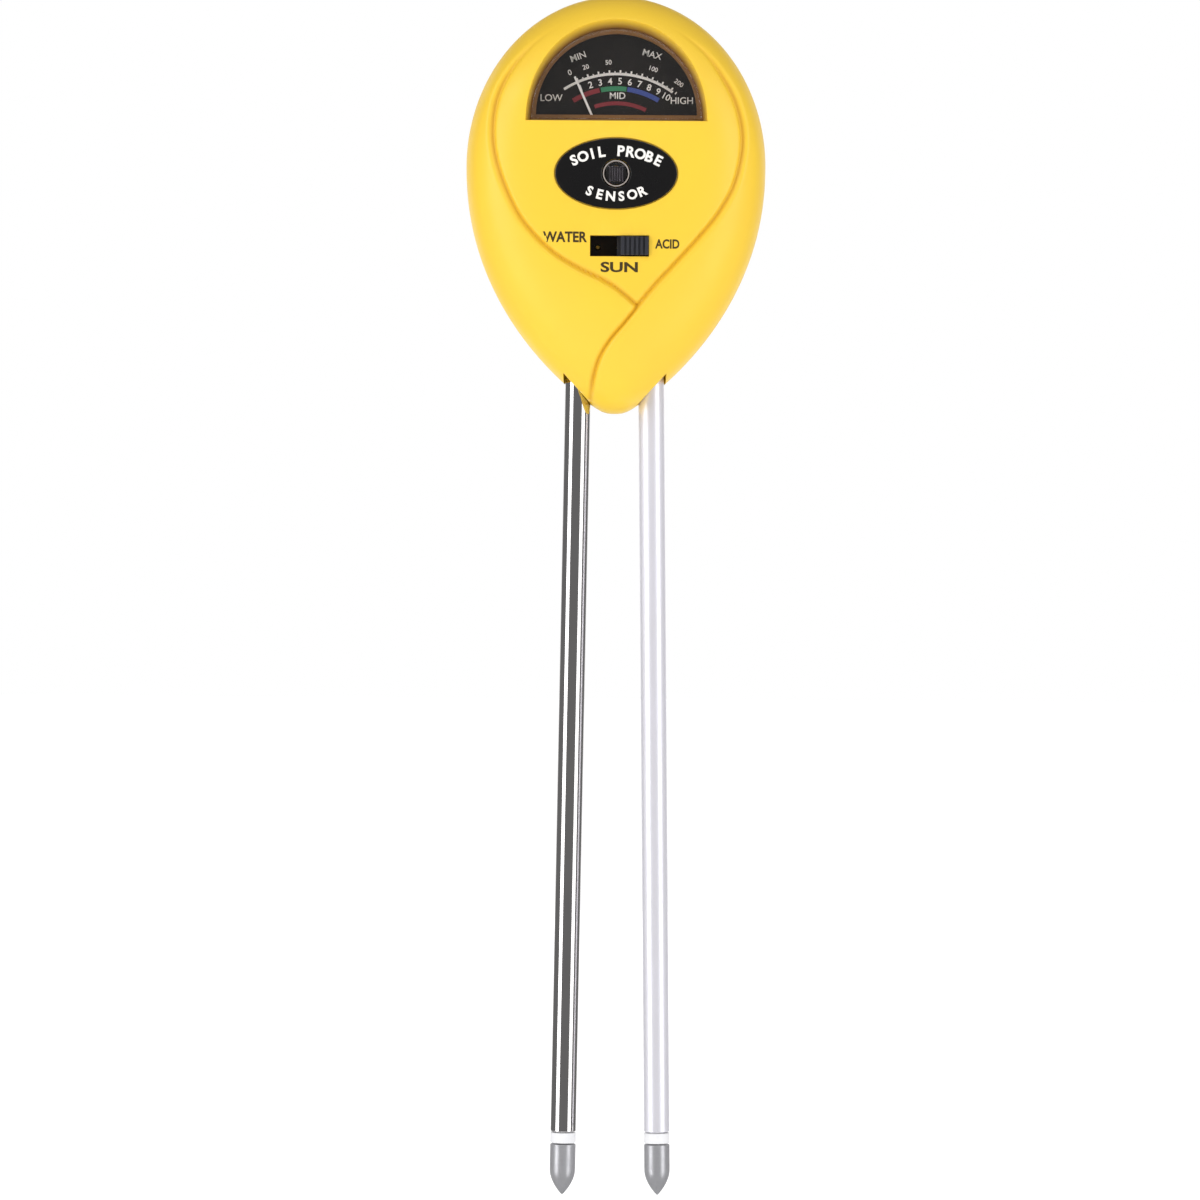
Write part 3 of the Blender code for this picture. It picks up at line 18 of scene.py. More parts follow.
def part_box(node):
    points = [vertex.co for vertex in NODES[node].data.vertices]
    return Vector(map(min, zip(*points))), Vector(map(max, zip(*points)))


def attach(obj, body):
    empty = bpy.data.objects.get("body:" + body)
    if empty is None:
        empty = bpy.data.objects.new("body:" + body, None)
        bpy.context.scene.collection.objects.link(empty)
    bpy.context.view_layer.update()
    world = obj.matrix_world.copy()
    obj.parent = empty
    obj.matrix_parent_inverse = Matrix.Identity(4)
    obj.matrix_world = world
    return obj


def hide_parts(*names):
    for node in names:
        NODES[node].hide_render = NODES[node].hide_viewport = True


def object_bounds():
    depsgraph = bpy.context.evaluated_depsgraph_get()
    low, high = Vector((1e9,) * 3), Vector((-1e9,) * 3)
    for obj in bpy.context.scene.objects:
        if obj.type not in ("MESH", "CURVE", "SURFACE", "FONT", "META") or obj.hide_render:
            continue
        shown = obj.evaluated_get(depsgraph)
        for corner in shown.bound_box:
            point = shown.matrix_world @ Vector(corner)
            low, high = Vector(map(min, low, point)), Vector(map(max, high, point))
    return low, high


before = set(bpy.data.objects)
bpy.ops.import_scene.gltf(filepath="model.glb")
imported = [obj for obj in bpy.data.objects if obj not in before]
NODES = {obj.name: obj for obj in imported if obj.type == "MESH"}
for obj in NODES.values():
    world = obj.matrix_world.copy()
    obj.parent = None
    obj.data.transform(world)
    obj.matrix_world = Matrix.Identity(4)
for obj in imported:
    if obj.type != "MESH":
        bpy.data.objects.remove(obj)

MM = 0.001
CAD_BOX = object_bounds()
print("measured box in mm:", [[round(value / MM, 2) for value in corner] for corner in CAD_BOX])

# %% [markdown]
# ## The camera
# The camera stands well back with a long lens, so that the dial and the probe tips are drawn
# at nearly the same scale. It looks straight at the front, level with the middle of the whole
# meter, and leans by a third of a degree.

# %% The camera
CAMERA_DISTANCE = 1.2
VIEW_WIDTH = 280.7 * MM
VIEW_CENTRE = (-3.1 * MM, 139.1 * MM)
SENSOR_WIDTH = 36.0
LEAN = math.radians(0.36)
FARTHEST_SEEN = 20.0

bpy.ops.object.camera_add(
    location=(VIEW_CENTRE[0], -CAMERA_DISTANCE, VIEW_CENTRE[1]), rotation=(math.pi / 2, -LEAN, 0)
)
camera = bpy.context.object
camera.name = "front_camera"
camera.data.sensor_width = SENSOR_WIDTH
camera.data.lens = SENSOR_WIDTH * CAMERA_DISTANCE / VIEW_WIDTH
camera.data.clip_end = FARTHEST_SEEN
bpy.context.scene.camera = camera
print("lens in mm:", round(camera.data.lens, 1))

# %% [markdown]
# ## Nodes and colours
# Every finish below is a small network of nodes. One helper adds a node, sets what it needs
# and links its sockets. Colours are written as hex codes, the way a paint chart gives them,
# and one function turns them to the linear light that the renderer works in.

# %% The helper that adds a node, and the one that reads a colour
def add_node(tree, kind, sockets=None, **settings):
    """Adds a node; sockets maps an input's name or number to a value or to an output to link."""
    node = tree.nodes.new(kind)
    for setting, value in settings.items():
        setattr(node, setting, value)
    for socket, value in (sockets or {}).items():
        if isinstance(value, bpy.types.NodeSocket):
            tree.links.new(value, node.inputs[socket])
        else:
            node.inputs[socket].default_value = value
    return node


def linear(code):
    """An sRGB hex colour as linear red, green, blue and alpha."""
    shares = [int(code[at:at + 2], 16) / 255 for at in (0, 2, 4)]
    return (*[s / 12.92 if s <= 0.04045 else ((s + 0.055) / 1.055) ** 2.4 for s in shares], 1.0)


print("mid grey in linear light:", round(linear("808080")[0], 3))

# %% [markdown]
# ## The floor and the light
# The meter stands on a pale floor in a bright room. Two tall soft boxes stand half way to the
# side, because on a polished round rod each soft box becomes one long bright stripe, with a
# darker stripe between them where the rod mirrors the dim room behind the camera.

# %% The floor
FLOOR_HALF = 6.0
FLOOR_DROP = 0.2 * MM
FLOOR_GLOW = 0.60
WHITE = (1, 1, 1, 1)

bpy.ops.mesh.primitive_plane_add(size=2 * FLOOR_HALF, location=(0, 0, CAD_BOX[0][2] - FLOOR_DROP))
floor = bpy.context.object
floor.name = "floor"
floor_paint = bpy.data.materials.new("matt_white_floor_paint")
floor_paint.use_nodes = True
tree = floor_paint.node_tree
shader = tree.nodes["Principled BSDF"]
grain = add_node(tree, "ShaderNodeTexNoise", {"Scale": 30.0, "Detail": 4.0})
tint = add_node(
    tree, "ShaderNodeMix", {0: grain.outputs["Fac"], 6: linear("F6F6F6"), 7: linear("FBFBFB")},
    data_type="RGBA",
)
tree.links.new(tint.outputs[2], shader.inputs["Base Color"])
shader.inputs["Roughness"].default_value = 0.9
shader.inputs["Specular IOR Level"].default_value = 0.1
shader.inputs["Emission Color"].default_value = WHITE
shader.inputs["Emission Strength"].default_value = FLOOR_GLOW
floor.data.materials.append(floor_paint)
floor.visible_glossy = False

# %% The room's own light
ROOM_SEEN = 1.0
ROOM_LIGHT = 0.50
ROOM_MIRRORED = 0.16

world = bpy.data.worlds.new("pale_room")
bpy.context.scene.world = world
world.use_nodes = True
tree = world.node_tree
tree.nodes.clear()
rays = add_node(tree, "ShaderNodeLightPath")
lit, mirrored, seen = (
    add_node(tree, "ShaderNodeBackground", {"Color": WHITE, "Strength": strength})
    for strength in (ROOM_LIGHT, ROOM_MIRRORED, ROOM_SEEN)
)
gloss = add_node(
    tree, "ShaderNodeMixShader",
    {0: rays.outputs["Is Glossy Ray"], 1: lit.outputs[0], 2: mirrored.outputs[0]},
)
room = add_node(
    tree, "ShaderNodeMixShader", {0: rays.outputs["Is Camera Ray"], 1: gloss.outputs[0], 2: seen.outputs[0]}
)
add_node(tree, "ShaderNodeOutputWorld", {"Surface": room.outputs[0]})

# %% The soft boxes
LIGHT_DISTANCE = 1.1
MIDDLE = Vector((0, 0, 0.16))
# Each box: azimuth in degrees, height above the middle and size in metres, power in watts.
SOFT_BOXES = {
    "left_soft_box": (-57, 0.05, (0.60, 1.5), 7.5),
    "right_soft_box": (55, 0.0, (0.60, 1.5), 5.5),
    "top_soft_box": (5, 1.3, (1.0, 0.6), 4.0),
    "back_soft_box": (180, 0.0, (1.5, 1.2), 4.5),
}


def soft_box(name, azimuth, height, size, power):
    """An area lamp that faces the meter; azimuth 0 is straight ahead of the dial."""
    turn = math.radians(azimuth)
    ahead = Vector((math.sin(turn), -math.cos(turn), 0))
    place = MIDDLE + ahead * LIGHT_DISTANCE + Vector((0, 0, height))
    bpy.ops.object.light_add(type="AREA", location=place)
    lamp = bpy.context.object
    lamp.name = name
    lamp.data.shape = "RECTANGLE"
    lamp.data.size, lamp.data.size_y = size
    lamp.data.energy = power
    lamp.rotation_euler = (MIDDLE - place).to_track_quat("-Z", "Y").to_euler()
    lamp.visible_camera = False


for box_name, box_settings in SOFT_BOXES.items():
    soft_box(box_name, *box_settings)
bpy.context.scene.view_settings.view_transform = "Standard"

# %% [markdown]
# ## A finish that the moulded and plated pieces share
# No real surface is one flat colour. A moulding drifts between two close tones, its gloss is
# a little uneven, and its skin has a grain copied from the mould. The function below builds
# those three things from noise in the piece's own coordinates, with sizes in millimetres, and
# each material after it starts from there and adds what is its own.

# %% The shared finish
def per_metre(size_mm):
    """How many grains of this size fit in a metre, which is the scale a texture needs."""
    return 1 / (size_mm * MM)


def finish(name, light, dark, roughness, drift_mm, grain_mm, relief_mm, metallic=0.0, uneven=0.05):
    """A material with two close tones, an uneven gloss and a fine relief; *_mm are widths."""
    material = bpy.data.materials.new(name)
    material.use_nodes = True
    tree = material.node_tree
    shader = tree.nodes["Principled BSDF"]
    shader.inputs["Metallic"].default_value = metallic
    place = add_node(tree, "ShaderNodeTexCoord", name="place").outputs["Object"]
    drift = add_node(
        tree, "ShaderNodeTexNoise", {"Vector": place, "Scale": per_metre(drift_mm), "Detail": 3.0}
    )
    grain = add_node(
        tree, "ShaderNodeTexNoise", {"Vector": place, "Scale": per_metre(grain_mm), "Detail": 2.0},
        name="grain",
    )
    tone = add_node(
        tree, "ShaderNodeMix", {0: drift.outputs["Fac"], 6: linear(light), 7: linear(dark)},
        data_type="RGBA", name="tone",
    )
    gloss = add_node(
        tree, "ShaderNodeMapRange",
        {"Value": drift.outputs["Fac"], "From Min": 0.3, "From Max": 0.7,
         "To Min": roughness - uneven, "To Max": roughness + uneven},
        name="gloss",
    )
    relief = add_node(
        tree, "ShaderNodeBump",
        {"Height": grain.outputs["Fac"], "Distance": relief_mm * MM, "Strength": 1.0}, name="relief",
    )
    tree.links.new(tone.outputs[2], shader.inputs["Base Color"])
    tree.links.new(gloss.outputs["Result"], shader.inputs["Roughness"])
    tree.links.new(relief.outputs["Normal"], shader.inputs["Normal"])
    return material


def overlay(material, share, code):
    """Lays another colour over the tone, where share is 1."""
    tree = material.node_tree
    shader = tree.nodes["Principled BSDF"]
    below = shader.inputs["Base Color"].links[0].from_socket
    laid = add_node(tree, "ShaderNodeMix", {0: share, 6: below, 7: linear(code)}, data_type="RGBA")
    tree.links.new(laid.outputs[2], shader.inputs["Base Color"])


def bands(material, direction, pitch_mm, sharpness):
    """Even stripes across a direction; returns a value that is 1 on a stripe and 0 between."""
    tree = material.node_tree
    # A wave texture of scale 1 repeats every tau / 20 of a metre.
    wave = add_node(
        tree, "ShaderNodeTexWave",
        {"Vector": tree.nodes["place"].outputs["Object"], "Scale": per_metre(pitch_mm) * math.tau / 20},
        bands_direction=direction,
    )
    return add_node(
        tree, "ShaderNodeMapRange",
        {"Value": wave.outputs["Fac"], "From Min": sharpness, "From Max": 1.0},
    ).outputs["Result"]


def in_slice(material, axis, low, high):
    """A value that is 1 between two places along an axis of the piece, in metres."""
    tree = material.node_tree
    apart = add_node(tree, "ShaderNodeSeparateXYZ", {0: tree.nodes["place"].outputs["Object"]})
    above = add_node(tree, "ShaderNodeMath", {0: apart.outputs[axis], 1: low}, operation="GREATER_THAN")
    below = add_node(tree, "ShaderNodeMath", {0: apart.outputs[axis], 1: high}, operation="LESS_THAN")
    return add_node(
        tree, "ShaderNodeMath", {0: above.outputs[0], 1: below.outputs[0]}, operation="MULTIPLY"
    ).outputs[0]


# %% [markdown]
# ## Plastics
# The head is injection-moulded ABS in a warm yellow. ABS has an index of refraction of about
# 1.54 and a half-gloss skin: the mould is spark-eroded, which leaves a grain of about a tenth
# of a millimetre. It is drawn here at 0.35 mm so that it can just be seen. The other plastics
# are the switch's black ABS, white nylon rings and the dark phenolic board of the switch.

# %% Plastics
yellow_abs = finish("moulded_yellow_abs", "F1C937", "EEC22F", 0.40, 14, 0.35, 0.006)
black_abs = finish("moulded_black_abs", "303138", "282930", 0.42, 6, 0.25, 0.006)
movement_nylon = finish("black_glass_filled_nylon", "1D1D1E", "29292A", 0.55, 4, 0.3, 0.012)
bezel_grey = finish("grey_polycarbonate", "A39A93", "968D87", 0.45, 3, 0.3, 0.004)
white_nylon = finish("white_nylon", "EDEDEE", "E2E2E6", 0.42, 3, 0.3, 0.004)
phenolic = finish("dark_phenolic_sheet", "1C1412", "130E0C", 0.6, 1.5, 0.2, 0.008)
lead_red = finish("red_pvc_insulation", "B3261E", "9A1D17", 0.45, 2, 0.2, 0.004)
lead_black = finish("black_pvc_insulation", "26262A", "1B1B1E", 0.45, 2, 0.2, 0.004)
ABS_INDEX = 1.54
for plastic in (yellow_abs, black_abs):
    plastic.node_tree.nodes["Principled BSDF"].inputs["IOR"].default_value = ABS_INDEX

# The front cover carries two values, and both paint shade into its yellow. One is 1 at the foot
# of a crease, where painted shade stands for the light that bounces between two yellow walls and
# turns a deeper yellow. The other grows down the walls of the window, which see mostly each other
# and the black dial, and get little light; there painted shade turns them brown.
for carried, code in (("crease", "DDA822"), ("window_wall_shade", "8A5E28")):
    value = add_node(yellow_abs.node_tree, "ShaderNodeAttribute", attribute_name=carried)
    overlay(yellow_abs, value.outputs["Fac"], code)
print("plastics:", yellow_abs.name, black_abs.name, white_nylon.name)

# %% [markdown]
# ## Printed surfaces
# The dial and the badge are printed plates. A silk-screened black is nearly matt on the dial,
# where gloss would hide the scale, and glossier on the badge, which is touched and wiped. The
# inks on top are their own pieces, a few hundredths of a millimetre thick as real ink is.

# %% Prints and inks
dial_black = finish("silk_screened_black", "130D09", "0F0A07", 0.7, 5, 0.2, 0.004)
dial_black.node_tree.nodes["Principled BSDF"].inputs["Specular IOR Level"].default_value = 0.2
badge_black = finish("gloss_printed_black", "121112", "0C0B0C", 0.28, 8, 0.25, 0.002)
white_ink = finish("white_screen_ink", "F2EFEA", "E4E0DA", 0.5, 1.2, 0.15, 0.003)
red_ink = finish("dark_red_screen_ink", "8E1F2B", "7A1722", 0.5, 1.2, 0.15, 0.003)
green_ink = finish("green_screen_ink", "2E8A5C", "26784F", 0.5, 1.2, 0.15, 0.003)
blue_ink = finish("blue_screen_ink", "3A4F9E", "31438B", 0.5, 1.2, 0.15, 0.003)
label_ink = finish("brown_black_pad_ink", "4A3A12", "3A2D10", 0.5, 1.0, 0.15, 0.003)
needle_paint = finish("white_needle_paint", "F6F4F0", "EAE7E2", 0.4, 1.5, 0.12, 0.003)
print("inks:", [m.name for m in (white_ink, red_ink, green_ink, blue_ink, label_ink)])

# %% [markdown]
# ## Metals
# A metal's colour is its mirror colour, so its base colour is bright and its roughness does
# the rest. The left probe is bright nickel plate, polished before plating. The right one is
# satin anodised aluminium, brushed along its length, so its mirror image is smeared out to a
# pale grey with a trace of lilac. The tips are turned from zinc, and the turning tool leaves
# fine rings across them.

# %% Metals
bright_nickel = finish("bright_nickel_plate", "E8E6E5", "DBD8D8", 0.07, 9, 0.6, 0.0006, 1.0, 0.03)
satin_aluminium = finish("satin_anodised_aluminium", "FAF9FF", "F4F2FC", 0.36, 9, 0.5, 0.002, 0.5, 0.04)
turned_zinc = finish("turned_zinc", "CBCBCE", "BABABF", 0.36, 2, 0.3, 0.002, 0.6)
zinc_plate = finish("zinc_plated_steel", "C2C4C6", "A9ABB0", 0.3, 1.5, 0.2, 0.003, 1.0)
rolled_brass = finish("rolled_brass", "D8B25A", "C69F4C", 0.3, 2, 0.2, 0.002, 1.0)
soft_iron = finish("bare_soft_iron", "8E8F92", "77787C", 0.45, 2, 0.25, 0.006, 1.0)
ferrite = finish("sintered_ferrite", "38383B", "2A2A2D", 0.6, 1.2, 0.2, 0.010)



def emboss(material, pattern):
    """The relief follows a pattern instead of the grain."""
    tree = material.node_tree
    tree.links.new(pattern, tree.nodes["relief"].inputs["Height"])


# A turning tool moves about a tenth of a millimetre in each turn; 0.3 mm is drawn to show.
TURNING_PITCH = 0.3
RING_TONE = 0.25
rings = bands(turned_zinc, "Z", TURNING_PITCH, 0.2)
emboss(turned_zinc, rings)
ring_tone = add_node(
    turned_zinc.node_tree, "ShaderNodeMath", {0: rings, 1: RING_TONE}, operation="MULTIPLY"
)
overlay(turned_zinc, ring_tone.outputs[0], "8E8E92")


def brushed_along_probe(material, fine_mm, long_mm, relief_mm):
    """Stretches the grain along the probe, as a belt or a drawing die leaves it."""
    tree = material.node_tree
    grain = tree.nodes["grain"]
    stretch = add_node(
        tree, "ShaderNodeMapping",
        {"Vector": tree.nodes["place"].outputs["Object"], "Scale": (1, 1, fine_mm / long_mm)},
    )
    tree.links.new(stretch.outputs["Vector"], grain.inputs["Vector"])
    grain.inputs["Scale"].default_value = per_metre(fine_mm)
    tree.nodes["relief"].inputs["Distance"].default_value = relief_mm * MM


brushed_along_probe(bright_nickel, 0.5, 40, 0.0008)
brushed_along_probe(satin_aluminium, 0.3, 12, 0.004)
print("metals:", [m.name for m in (bright_nickel, satin_aluminium, turned_zinc)])

# %% [markdown]
# ## Clear, electrical and patterned materials
# The lens is clear polystyrene, index 1.59. Lamps should reach the dial through it, so its
# shader turns transparent for shadow rays, and the eye still sees glass. The coil is wound
# from enamelled copper wire, the circuit board has tracks under a green mask, the resistors
# carry painted bands, and the light cell is silicon with thin silver fingers.

# %% Clear polystyrene
POLYSTYRENE_INDEX = 1.59
clear_styrene = finish("clear_polystyrene", "FFFFFF", "FDFBFA", 0.03, 20, 1.5, 0.0004, 0.0, 0.01)
tree = clear_styrene.node_tree
shader = tree.nodes["Principled BSDF"]
shader.inputs["Transmission Weight"].default_value = 1.0
shader.inputs["Specular IOR Level"].default_value = 0.25
shader.inputs["IOR"].default_value = POLYSTYRENE_INDEX
rays = add_node(tree, "ShaderNodeLightPath")
open_air = add_node(tree, "ShaderNodeBsdfTransparent", {"Color": (0.94, 0.93, 0.93, 1)})
either = add_node(
    tree, "ShaderNodeMixShader",
    {0: rays.outputs["Is Shadow Ray"], 1: shader.outputs[0], 2: open_air.outputs[0]},
)
tree.links.new(either.outputs[0], tree.nodes["Material Output"].inputs["Surface"])

# %% Copper winding, circuit board, resistor body and silicon
copper_winding = finish("enamelled_copper_winding", "C0683A", "A85530", 0.3, 1.5, 0.2, 0.01, 1.0)
# The wire is about 0.08 mm thick; its turns are drawn 0.3 mm apart so that they can be seen.
WINDING_PITCH = 0.3
emboss(copper_winding, bands(copper_winding, "Y", WINDING_PITCH, 0.0))

# A board's holes, and so its tracks, are a tenth of an inch apart.
TRACK_PITCH = 2.54
green_board = finish("solder_masked_board", "1E6A3A", "175730", 0.35, 3, 0.25, 0.004)
tracks = bands(green_board, "X", TRACK_PITCH, 0.82)
across = bands(green_board, "Z", 2 * TRACK_PITCH, 0.9)
either_way = add_node(
    green_board.node_tree, "ShaderNodeMath", {0: tracks, 1: across}, operation="MAXIMUM"
)
overlay(green_board, either_way.outputs[0], "3C9058")

# Brown, black, red and gold bands: where each one's middle is along the body, in millimetres.
RESISTOR_BANDS = ((-1.6, "5B2E12"), (-0.7, "1A1A1A"), (0.2, "B3261E"), (1.6, "C9A227"))
BAND_HALF = 0.25
resistor_tan = finish("resistor_lacquer", "C9A06A", "BB9460", 0.4, 1.5, 0.2, 0.004)
for middle, code in RESISTOR_BANDS:
    painted = in_slice(resistor_tan, "X", (middle - BAND_HALF) * MM, (middle + BAND_HALF) * MM)
    overlay(resistor_tan, painted, code)

# The silver fingers of a small cell are about half a millimetre apart.
FINGER_PITCH = 0.58
silicon = finish("silicon_light_cell", "201A22", "171219", 0.16, 1.5, 0.3, 0.001)
overlay(silicon, bands(silicon, "X", FINGER_PITCH, 0.93), "77757A")
print("patterned finishes:", [m.name for m in (copper_winding, green_board, resistor_tan, silicon)])

# %% [markdown]
# ## Finishes for the measured pieces
# The pieces inside the head already have their true shape, so they are kept as they are and
# only get their materials here. The visible outside pieces are modelled in the next cells.

# %% Give every measured node its finish
NODE_FINISHES = {
    "front_cover": yellow_abs, "rear_cover": yellow_abs, "dial_lens": clear_styrene,
    "dial_plate": dial_black, "badge_plate": badge_black, "sensor_bezel": white_nylon,
    "sensor_window": clear_styrene, "light_cell": silicon, "circuit_board": green_board,
    "switch_shell": zinc_plate, "switch_base": phenolic, "switch_knob": black_abs,
    "contact_bridge": rolled_brass, "movement_frame": movement_nylon, "yoke_ring": soft_iron,
    "core_magnet": ferrite, "core_bridge": rolled_brass, "moving_coil": copper_winding,
    "pointer": needle_paint, "moisture_resistor": resistor_tan, "light_resistor": resistor_tan,
    "left_probe_tube": bright_nickel, "right_probe_tube": satin_aluminium,
    "left_cell_lead": lead_red, "right_cell_lead": lead_black,
    "left_movement_lead": lead_red, "right_movement_lead": lead_black,
    "left_tube_lead": lead_black, "right_tube_lead": lead_red,
    "left_tip_wire": lead_red, "right_tip_wire": lead_black,
}
FAMILY_FINISHES = (
    ("jewel_screw", rolled_brass), ("hairspring", rolled_brass), ("staff", soft_iron),
    ("tube_terminal", rolled_brass), ("switch_pin", rolled_brass), ("screw", zinc_plate),
    ("insulating_ring", white_nylon), ("probe_tip", turned_zinc),
)


def give(thing, material):
    """The piece's only material is this one."""
    thing.data.materials.clear()
    thing.data.materials.append(material)


for node_name, node in NODES.items():
    family = next((made_of for part, made_of in FAMILY_FINISHES if part in node_name), None)
    give(node, NODE_FINISHES.get(node_name, family))
print("finished nodes:", len(NODES))

# %% [markdown]
# ## Working as by hand
# Each new piece starts as a primitive at its real size and place, and is shaped in edit mode.
# An operator acts on everything that is selected, so the helpers below first clear the
# selection, then pick faces, edges or points by where they are and which way they face.

# %% Helpers for modelling
SMOOTH_BELOW = 35
SOFT_SEGMENTS = 2
SOFT_ABOVE = math.radians(40)


def only(*things):
    """Selects these objects and nothing else; the first one is active."""
    bpy.ops.object.select_all(action="DESELECT")
    for thing in things:
        thing.select_set(True)
    bpy.context.view_layer.objects.active = things[0]


def edit(thing):
    """Opens the object in edit mode with nothing selected."""
    only(thing)
    bpy.ops.object.mode_set(mode="EDIT")
    bpy.ops.mesh.select_all(action="DESELECT")


def leave():
    """Goes back to object mode."""
    bpy.ops.object.mode_set(mode="OBJECT")


def face_out():
    """Turns every face of the edited piece outwards, then goes back to object mode."""
    bpy.ops.mesh.select_all(action="SELECT")
    bpy.ops.mesh.normals_make_consistent(inside=False)
    leave()


def add(primitive, name, **settings):
    """Adds a mesh primitive, and applies its size and place to its points."""
    only(floor)
    primitive(**settings)
    made = bpy.context.object
    made.name = name
    bpy.ops.object.transform_apply(location=True, rotation=True, scale=True)
    return made


def pick(kind, test):
    """In edit mode, selects the VERT, EDGE or FACE elements that pass the test; says how many."""
    bpy.ops.mesh.select_mode(type=kind)
    bpy.ops.mesh.select_all(action="DESELECT")
    mesh = bmesh.from_edit_mesh(bpy.context.object.data)
    elements = {"VERT": mesh.verts, "EDGE": mesh.edges, "FACE": mesh.faces}[kind]
    chosen = [element for element in elements if test(element)]
    for element in chosen:
        element.select_set(True)
    bmesh.update_edit_mesh(bpy.context.object.data)
    return len(chosen)


def settle(thing, material, angle=SMOOTH_BELOW):
    """Applies the object's place, gives it its finish and smooths all but its sharp edges."""
    only(thing)
    bpy.ops.object.transform_apply(location=True, rotation=True, scale=True)
    give(thing, material)
    bpy.ops.object.shade_smooth_by_angle(angle=math.radians(angle))
    return thing


def carve(target, tools):
    """Takes all the tools out of a piece at once, then removes them."""
    group = bpy.data.collections.new("tools")
    for tool in tools:
        group.objects.link(tool)
    only(target)
    modifier = target.modifiers.new("carved", "BOOLEAN")
    modifier.operation = "DIFFERENCE"
    modifier.operand_type = "COLLECTION"
    modifier.collection = group
    modifier.solver = "EXACT"
    bpy.ops.object.modifier_apply(modifier=modifier.name)
    for tool in tools:
        bpy.data.objects.remove(tool)
    bpy.data.collections.remove(group)


def soften(thing, width_mm):
    """Rounds every sharp edge, as a mould or a tumbler does."""
    only(thing)
    modifier = thing.modifiers.new("softened", "BEVEL")
    modifier.width = width_mm * MM
    modifier.segments = SOFT_SEGMENTS
    modifier.limit_method = "ANGLE"
    modifier.angle_limit = SOFT_ABOVE
    bpy.ops.object.modifier_apply(modifier=modifier.name)


def stand_in(thing, body, node):
    """The piece moves with a body and stands for a measured node, which it hides."""
    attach(thing, body)
    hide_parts(node)
    print(thing.name, "for", node, "faces:", len(thing.data.polygons))


# %% [markdown]
# ## The head's surface
# The head is a pebble: seen from the front it is half an ellipse above its widest line, and
# below that it tapers to a blunt tongue. From the side each cover is a low dome with a flat
# middle. A ball primitive has the right way of joining all that up, so it is taken as the
# start, and each of its points is moved to where the two curves say. The measured cover gives
# the width, the height of the crown and the tip, and the depth.

# %% The head's own sizes
COVER_LOW, COVER_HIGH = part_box("front_cover")
WIDEST = 240.3 * MM
HALF_WIDTH = 34.95 * MM
CROWN = COVER_HIGH.z - WIDEST
DROP = WIDEST - COVER_LOW.z
FRONT_DEPTH = 17.0 * MM
REAR_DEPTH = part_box("rear_cover")[1].y
SEAM = 0.15 * MM
WALL = 2.0 * MM
FLAT_SPARE = 0.3 * MM
TAPER_ACROSS, TAPER_DOWN = 1.226, 2.109
TIP_SPARE, TIP_BLEND = 0.9 * MM, 0.9 * MM
# Keeps the ball's columns of points about evenly spaced round the blunt tip.
COLUMN_SPREAD = 1.15
DOME_POWER = 2.2
FRONT_FULLNESS, REAR_FULLNESS = 5.0, 4.0
# How many segments and rings the balls have that become the covers and the space in them.
FRONT_BALL, REAR_BALL, SPACE_BALL = (192, 96), (160, 80), (96, 48)
# A little below zero, so that the points of a half's own rim are kept.
JUST_BELOW = -0.001
print("head in mm: half width", HALF_WIDTH / MM, "crown", round(CROWN / MM, 2), "drop", round(DROP / MM, 2))


def rounded_least(a, b, blend):
    """The lesser of two lengths, with the corner between them rounded off."""
    gap = np.maximum(blend - abs(a - b), 0) / blend
    return np.minimum(a, b) - gap * gap * blend / 4


def outline_at(angle):
    """Where the head's outline runs in a direction, as (x, height above the widest line)."""
    across, up = math.cos(angle), math.sin(angle)
    if up >= 0:
        return HALF_WIDTH * across, CROWN * up
    x_share = abs(across) ** COLUMN_SPREAD
    down = (1 - x_share**TAPER_ACROSS) ** (1 / TAPER_DOWN)
    x = HALF_WIDTH * math.copysign(x_share, across)
    return x, -rounded_least(DROP, (DROP + TIP_SPARE) * down, TIP_BLEND)


def dome(name, side, segments, rings, inset=0.0, past_seam=0.0):
    """Half the head as a closed solid. side is -1 for the front and 1 for the rear."""
    shell = add(bpy.ops.mesh.primitive_uv_sphere_add, name, segments=segments, ring_count=rings, radius=1)
    edit(shell)
    pick("VERT", lambda vert: vert.co.z < JUST_BELOW)
    bpy.ops.mesh.delete(type="VERT")
    leave()
    fullness, depth = (FRONT_FULLNESS, FRONT_DEPTH) if side < 0 else (REAR_FULLNESS, REAR_DEPTH)
    shrink = 1 - inset / HALF_WIDTH
    start = SEAM - past_seam
    rise = depth - start - inset
    for vert in shell.data.vertices:
        share = min(max(vert.co.z, 0.0), 1.0)
        reach = shrink * (1 - share * share) ** (1 / fullness)
        x, up = outline_at(math.atan2(vert.co.y, vert.co.x))
        height = rounded_least(rise, (rise + FLAT_SPARE) * share ** (2 / DOME_POWER), FLAT_SPARE)
        vert.co = (x * reach, side * (start + height), WIDEST + up * reach)
    edit(shell)
    pick("EDGE", lambda edge: edge.is_boundary)
    bpy.ops.mesh.edge_face_add()
    face_out()
    return shell


# %% [markdown]
# ## The folds of the front cover
# On the front of the head two broad wings wrap round a middle panel like a scarf. The right
# wing lies over the left one and runs on down as the tongue. Each wing ends in a soft raised
# edge with a fine crease at its foot, which fades out near the crown. The edges are two smooth
# curves through a few points, and how high the surface stands follows from the distance to them.

